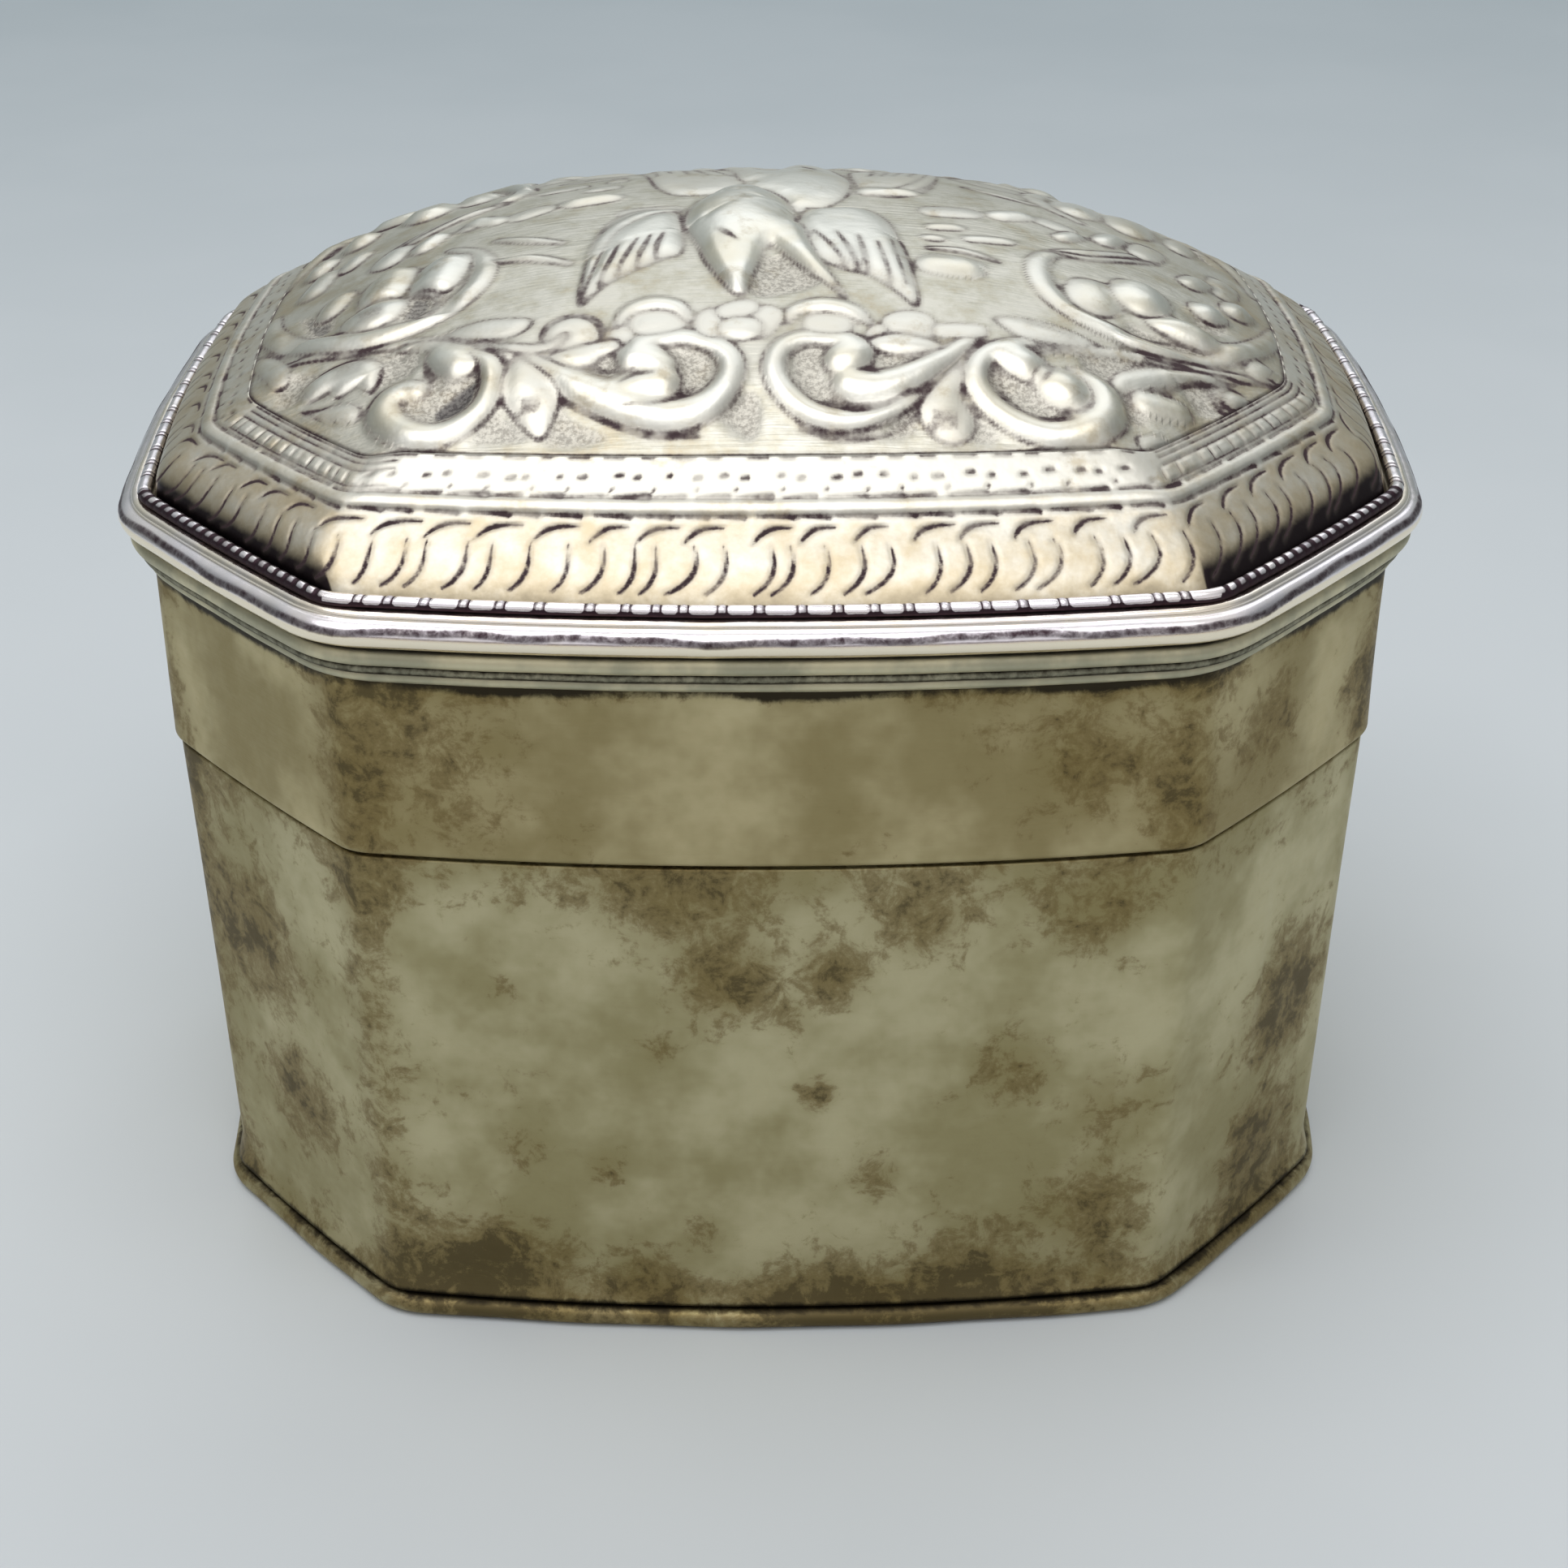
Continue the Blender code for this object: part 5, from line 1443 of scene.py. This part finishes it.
def draw_clouds(field):
    """Loose lumps and streaks in the open ground beside the wings and towards the crest."""
    petal(field, 12.4, -9.2, 2.5, 1.6, 0, 0.8)
    form(field, [(-18.8, -6.0, 0.4), (-16.6, -6.6, 0.6), (-13.9, -8.2, 0.3)], height=0.55)
    form(field, [(-19.4, -1.6, 0.4), (-17.0, -3.0, 0.6), (-14.6, -4.4, 0.3)], height=0.5)
    form(field, [(11.0, -6.4, 0.25), (13.4, -6.4, 0.45), (15.8, -7.4, 0.2)], height=0.35)
    for oval in (
        (12.4, -2.2, 1.5, 0.7, 10, 0.4), (11.4, -4.6, 0.9, 0.6, 0, 0.4), (15.4, -3.8, 2.0, 0.7, 10, 0.35),
        (17.4, 2.4, 2.0, 1.1, 30, 0.6), (-13.0, 4.6, 2.4, 1.2, 10, 0.6), (-20.6, 3.6, 1.8, 1.0, -30, 0.5),
        (8.6, 5.4, 2.4, 1.0, 5, 0.5),
    ):
        petal(field, *oval)

# %% One long side, in the order in which it lies


def draw_long_side(field):
    """Everything along one long side of the field, in the order in which it lies."""
    draw_mats(field)
    draw_stems(field)
    draw_corner_sprigs(field)
    draw_scroll_far_left(field)
    draw_scroll_near_left(field)
    draw_scroll_far_right(field)
    draw_scroll_near_right(field)
    draw_curls(field)
    draw_leaves(field)

# %% [markdown]
# The field's mesh is a square net drawn out to the octagon: ring by ring, the squares
# of the net become rings of the dome, so every mesh is about a quarter of a millimetre
# wide and nothing bunches up in the middle. The inside of the sheet is every third
# point of the net, moved in by the sheet's thickness, so it shows the ornament from
# behind, as a raised lid does.

# %% The net of the chased field
net = 288
inside_step = 3
edge_station, edge_walked = even_stations(4 * net, 4)
field_edge = dome_ring(field_offset, edge_station)
field_edge = np.vstack([field_edge, field_edge[:1]])
across = np.linspace(-1, 1, net + 1)
u, v = (grid.ravel() for grid in np.meshgrid(across, across))
share = np.maximum(np.abs(u), np.abs(v))
safe = np.maximum(share, 1e-9)
mark = np.select(
    [(u >= np.abs(v)), (v >= np.abs(u)), (-u >= np.abs(v))],
    [(v / safe + 1) / 2, 1 + (1 - u / safe) / 2, 2 + (1 - v / safe) / 2],
    3 + (u / safe + 1) / 2,
) * net
edge_x = np.interp(mark, np.arange(4 * net + 1), field_edge[:, 0])
edge_y = np.interp(mark, np.arange(4 * net + 1), field_edge[:, 1])
edge_angle = np.arctan2(edge_y, edge_x)
field_oval = 1 / np.hypot(
    np.cos(edge_angle) / (half_length + field_offset + field_oval_spare),
    np.sin(edge_angle) / (half_width + field_offset + front_bow),
)
stretch_out = share * (share ** 2 + (1 - share ** 2) * field_oval / np.hypot(edge_x, edge_y))
field = blank(edge_x * stretch_out, edge_y * stretch_out, 1.0)
print("the net has", len(field.x), "points")

# %% Drawing the ornament, from the lowest layer up
draw_long_side(turned(field, 0.0, 0.85))
draw_long_side(field)
draw_end_scroll_left(turned(field, 4.0, 0.5))
draw_end_scroll_right(turned(field, 4.0, 1.25))
draw_clouds(turned(field, 6.0, 0.4))
draw_bud(turned(field, 5.0, 0.4))
draw_end_scroll_left(field)
draw_end_scroll_right(field)
draw_clouds(field)
draw_bud(field)

# %% Softening the relief, as rubbing does
soft_passes = 5
plump_passes = 24
plump_from = 0.65
plump_over = 0.3
line_spread = 0.08


def softened(values, passes):
    """Values on the net, each replaced again and again by a weighted mean of its nine neighbours."""
    grid = values.reshape(net + 1, net + 1)
    for _ in range(passes):
        grid = np.pad(grid, 1, mode="edge")
        grid = (grid[:-2] + 2 * grid[1:-1] + grid[2:]) / 4
        grid = (grid[:, :-2] + 2 * grid[:, 1:-1] + grid[:, 2:]) / 4
    return grid.ravel()


field.rise = softened(field.rise, soft_passes)
plump = np.clip((field.rise - plump_from) / plump_over, 0, 1)
field.rise += plump * (softened(field.rise, plump_passes) - field.rise)
field.line = softened(field.line, 1) - line_spread
field.mat = softened(field.mat, 1)
print("raised", round(field.rise.max(), 2), "mm at most, sunk", round(-field.rise.min(), 2), "mm")

# %% The sheet's two faces
edge_fade = 0.01


def slopes(x, y):
    """The upward normal of the plain dome, from its height at four points close by."""
    step = 0.05
    east = (dome_height(x + step, y) - dome_height(x - step, y)) / (2 * step)
    north = (dome_height(x, y + step) - dome_height(x, y - step)) / (2 * step)
    normal = np.column_stack([-east, -north, np.ones(len(x))])
    return normal / np.linalg.norm(normal, axis=1, keepdims=True)


fade = np.clip((1 - share) / edge_fade, 0, 1)
field_normal = slopes(field.x, field.y)
plain = np.column_stack([field.x, field.y, dome_height(field.x, field.y)])
field_points = plain + field_normal * (field.rise * fade)[:, None]
size = net + 1
coarse = np.arange(0, size, inside_step)
small = len(coarse)
picked = (coarse[:, None] * size + coarse[None, :]).ravel()
inside_points = field_points[picked] - field_normal[picked] * sheet_thickness
print(len(field_points), "points outside,", len(inside_points), "inside")

# %% The cut edge between the two faces


def net_edge(side_count, first):
    """The numbers of the points round the edge of a square net, anticlockwise from its first corner."""
    step = np.arange(side_count - 1)
    last = side_count - 1
    bottom, right = step, step * side_count + last
    top, left = last * side_count + last - step, (last - step) * side_count
    return first + np.concatenate([bottom, right, top, left])


outer_edge = net_edge(size, 0)
inner_edge = net_edge(small, len(field_points))
inner_next = np.roll(inner_edge, -1)
outer_quads = outer_edge.reshape(-1, inside_step)
outer_next = np.roll(outer_edge, -1).reshape(-1, inside_step)[:, 2]
edge_quads = np.column_stack([outer_quads[:, 2], outer_quads[:, 1], inner_edge, inner_next])
edge_first = np.column_stack([outer_quads[:, 1], outer_quads[:, 0], inner_edge])
edge_last = np.column_stack([outer_next, outer_quads[:, 2], inner_next])
inside_faces = grid_faces(small, small)[:, ::-1] + len(field_points)

# %% The chased crown
field_half_width = 26
edge_line_half = 0.05
inside_values = {"line": no_line, "mat": 0.0, "rise": 0.1, "ground": 0.0, "tarnish": 0.0}


def with_inside(drawn, inside_count):
    """The values drawn on the chased side, each followed by one value for every point of the inside."""
    return {
        word: np.concatenate([getattr(drawn, word).ravel(), np.full(inside_count, value)])
        for word, value in inside_values.items()
    }


field.tarnish = 0.25 * share ** 4 + 0.35 * np.clip((np.abs(field.x) - 24) / 12, 0, 1)
field.line = np.minimum(field.line, (1 - share) * field_half_width - edge_line_half)
build_piece(
    "chased_crown", np.concatenate([field_points, inside_points]),
    [grid_faces(size, size), inside_faces, edge_quads, edge_first, edge_last],
    chased_finish, "lid", ["lid_dome"], with_inside(field, len(inside_points)), flat=3,
)

# %% [markdown]
# Round the field run plain strips with punched rows, a rounded ridge, and the steep band
# of little crescents above the notched wire. All of it follows the eight sides, so it is
# drawn on the sheet laid out flat, with the way round as x and the offset as y, and then
# carried round the plan like the other rings.

# %% The border laid out flat
flange_foot = dome_low[2]
band_offsets = np.linspace(foot_offset, border_offset, 32)
strip_offsets = np.linspace(border_offset, field_offset, 34)[1:]
flange_offsets = np.array([0.0, 0.0, -0.4])
outer_offsets = np.concatenate([flange_offsets, band_offsets, strip_offsets])
border_count = 4 * net
border_offsets = np.repeat(outer_offsets[:, None], border_count, axis=1)
band_share = np.clip((foot_offset - border_offsets) / (foot_offset - border_offset), 0, 1)
border_flat = dome_ring(border_offsets, edge_station[None])
band_line = flange_top + (border_height - flange_top) * band_share
band_line += band_swell * np.sin(np.pi * band_share ** 0.55)
on_crown = border_offsets < border_offset - 1e-6
border_plain = np.where(on_crown, dome_height(border_flat[..., 0], border_flat[..., 1]), band_line)
border_plain[0] = flange_foot

ring = blank(np.tile(edge_walked, len(outer_offsets)), border_offsets.ravel(), 0.0)
draw = np.random.default_rng(11)
ridge_middle, ridge_half, ridge_height = -6.18, 0.42, 0.16
across_ridge = np.clip(1 - ((ring.y - ridge_middle) / ridge_half) ** 2, 0, 1)
ring.rise += ridge_height * np.sqrt(across_ridge)
print("the border is drawn on", len(ring.x), "points")

# %% Marks along the border
past_the_ends = 4


def side_at(walked):
    """The number of the side at a distance round the plan: odd for the cuts."""
    return math.floor(float(np.interp(walked % perimeter, edge_walked, edge_station))) % sides


def marks(pitch, spread):
    """Places round the plan about pitch apart, each a little off, the last meeting the first."""
    count = round(perimeter / pitch)
    return (np.arange(count) + spread * draw.uniform(-0.5, 0.5, count)) * perimeter / count


def punch(path, width=0.1, depth=0.12):
    """One punched or cut mark on the ring, drawn again past the end where it crosses the start."""
    for shift in (-perimeter, 0, perimeter):
        moved = [(x + shift, *rest) for x, *rest in path]
        if -past_the_ends < moved[0][0] < perimeter + past_the_ends:
            engrave(ring, moved, width, depth)

# %% Crescents of the steep band, and the hooks above them
for x in marks(2.15, 0.5):
    bow = draw.uniform(0.9, 1.35) + (0.3 if draw.uniform() < 0.2 else 0)
    deep = draw.uniform(0.7, 1.05)
    punch([
        (x, -4.1, 0.02), (x + 0.12 * bow, -3.6, 0.06 * deep), (x + 0.08 * bow, -3.0, 0.10 * deep),
        (x - 0.14 * bow, -2.4, 0.10 * deep), (x - 0.55 * bow, -1.9, 0.07 * deep),
        (x - 1.0 * bow, -1.56, 0.04), (x - 1.45 * bow, -1.32, 0.02),
    ], depth=0.09)
for x in marks(3.6, 0.35):
    reach = draw.uniform(2.3, 3.1)
    punch([
        (x, -4.25, 0.02), (x + 0.22, -4.55, 0.08), (x + 0.65, -4.88, 0.10), (x + 0.45 * reach, -5.08, 0.08),
        (x + 0.72 * reach, -5.15, 0.05), (x + reach, -5.14, 0.01),
    ], depth=0.10)

# %% Punched rows of the border
for x in marks(2.8, 0.3):
    reach = draw.uniform(2.1, 2.8)
    punch([(x, -5.74, 0.03), (x + 0.8 * reach, -5.72, 0.10), (x + reach, -5.66, 0.12)], depth=0.08)
for x in marks(2.9, 0.25):
    reach = draw.uniform(2.3, 2.9)
    off_cut = side_at(x) % 2 == 0
    thick = draw.uniform(0.08, 0.2) if off_cut else 0.05
    punch([(x, -6.70, 0.04), (x + 0.5 * reach, -6.74, 0.6 * thick), (x + reach, -6.76, thick)], depth=0.10)
    if off_cut:
        punch([(x, -7.10, 0.07), (x + 0.14, -7.22, 0.05)], depth=0.08)
for x in marks(1.9, 0.6):
    if side_at(x) % 2 == 0:
        place, reach = -7.85 + draw.uniform(-0.14, 0.14), draw.uniform(0.2, 0.6)
        punch([(x, place, 0.07), (x + reach, place - 0.05, draw.uniform(0.07, 0.13))], depth=0.10)
for x in marks(1.45, 0.4):
    if side_at(x) % 2:
        punch([(x, -7.22, 0.03), (x + 0.04, -7.55, draw.uniform(0.02, 0.06)), (x, -7.90, 0.02)], 0.09, 0.06)
        cushion = 1 - ((ring.x - x - 0.7) / 0.62) ** 4 - ((ring.y + 7.55) / 0.4) ** 4
        ring.rise += 0.06 * np.sqrt(np.clip(cushion, 0, 1))
cut_mark = 2.6
for x in marks(2.5, 0.3):
    on_this_cut = side_at(x) % 2
    reach = cut_mark if on_this_cut else draw.uniform(0.8, 1.6)
    punch([(x, -9.0, 0.03), (x + reach, -9.0, 0.06)], depth=0.08)
    if on_this_cut:
        for row in (-7.04, -8.10, -8.60):
            punch([(x, row, 0.03), (x + cut_mark, row, 0.04)], depth=0.06)

# %% Border of the lid
ring_rise = ring.rise.reshape(border_offsets.shape) * np.clip((border_offsets - field_offset) / 0.15, 0, 1)
ring_rise[:3] = 0
row_offset = np.gradient(border_offsets, axis=0)
row_height = np.gradient(border_plain, axis=0)
row_length = np.hypot(row_offset, row_height) + 1e-9
moved_offset = border_offsets + ring_rise * row_height / row_length
moved_height = border_plain - ring_rise * row_offset / row_length
outside = np.concatenate(
    [dome_ring(moved_offset, edge_station[None]), moved_height[..., None]], axis=-1,
)
inside_offsets = np.array([field_offset, -7.0, border_offset, -2.3])
inside_flat = dome_ring(inside_offsets[:, None] + np.zeros(border_count), edge_station[None])
inside_height = dome_height(inside_flat[..., 0], inside_flat[..., 1]) - sheet_thickness * 1.1
inside_height[0] = border_plain[-1] - sheet_thickness
inside_height[2] = border_height - sheet_thickness * 1.35
inside_height[3] = flange_foot
inside = np.concatenate([inside_flat, inside_height[..., None]], axis=-1)
border_grid = np.concatenate([outside, inside])
ring_side = np.floor(edge_station).astype(int) % sides
off_front = np.where(ring_side[None] == int(front_station), 0.0, 1.0)
band_film = np.clip((border_offsets + 5.9) / 0.6, 0, 1) * (0.75 + 0.1 * off_front)
strip_film = np.where(border_offsets < -6.5, 0.35 * off_front, 0.4)
# Painted shade: the band's foot, next to the wire, is painted dark, most on the cuts.
foot_soot = 1.5 * bell(border_offsets + 0.9, 1.15) * (0.25 + 0.75 * (ring_side[None] % 2))
ring.tarnish = (np.maximum(band_film, strip_film) + foot_soot).ravel()
outer_rows, all_rows = len(outside), len(border_grid)
border_quads = grid_faces(all_rows, border_count, wrap_rows=True, wrap_columns=True).reshape(all_rows, -1, 4)
cut_rows = [0, outer_rows - 1, all_rows - 1]
smooth_rows = [row for row in range(all_rows) if row not in cut_rows]
build_piece(
    "chased_border", border_grid.reshape(-1, 3),
    [border_quads[smooth_rows].reshape(-1, 4), border_quads[cut_rows].reshape(-1, 4)],
    chased_finish, "lid", ["lid_dome"], with_inside(ring, inside_height.size), flat=1,
)
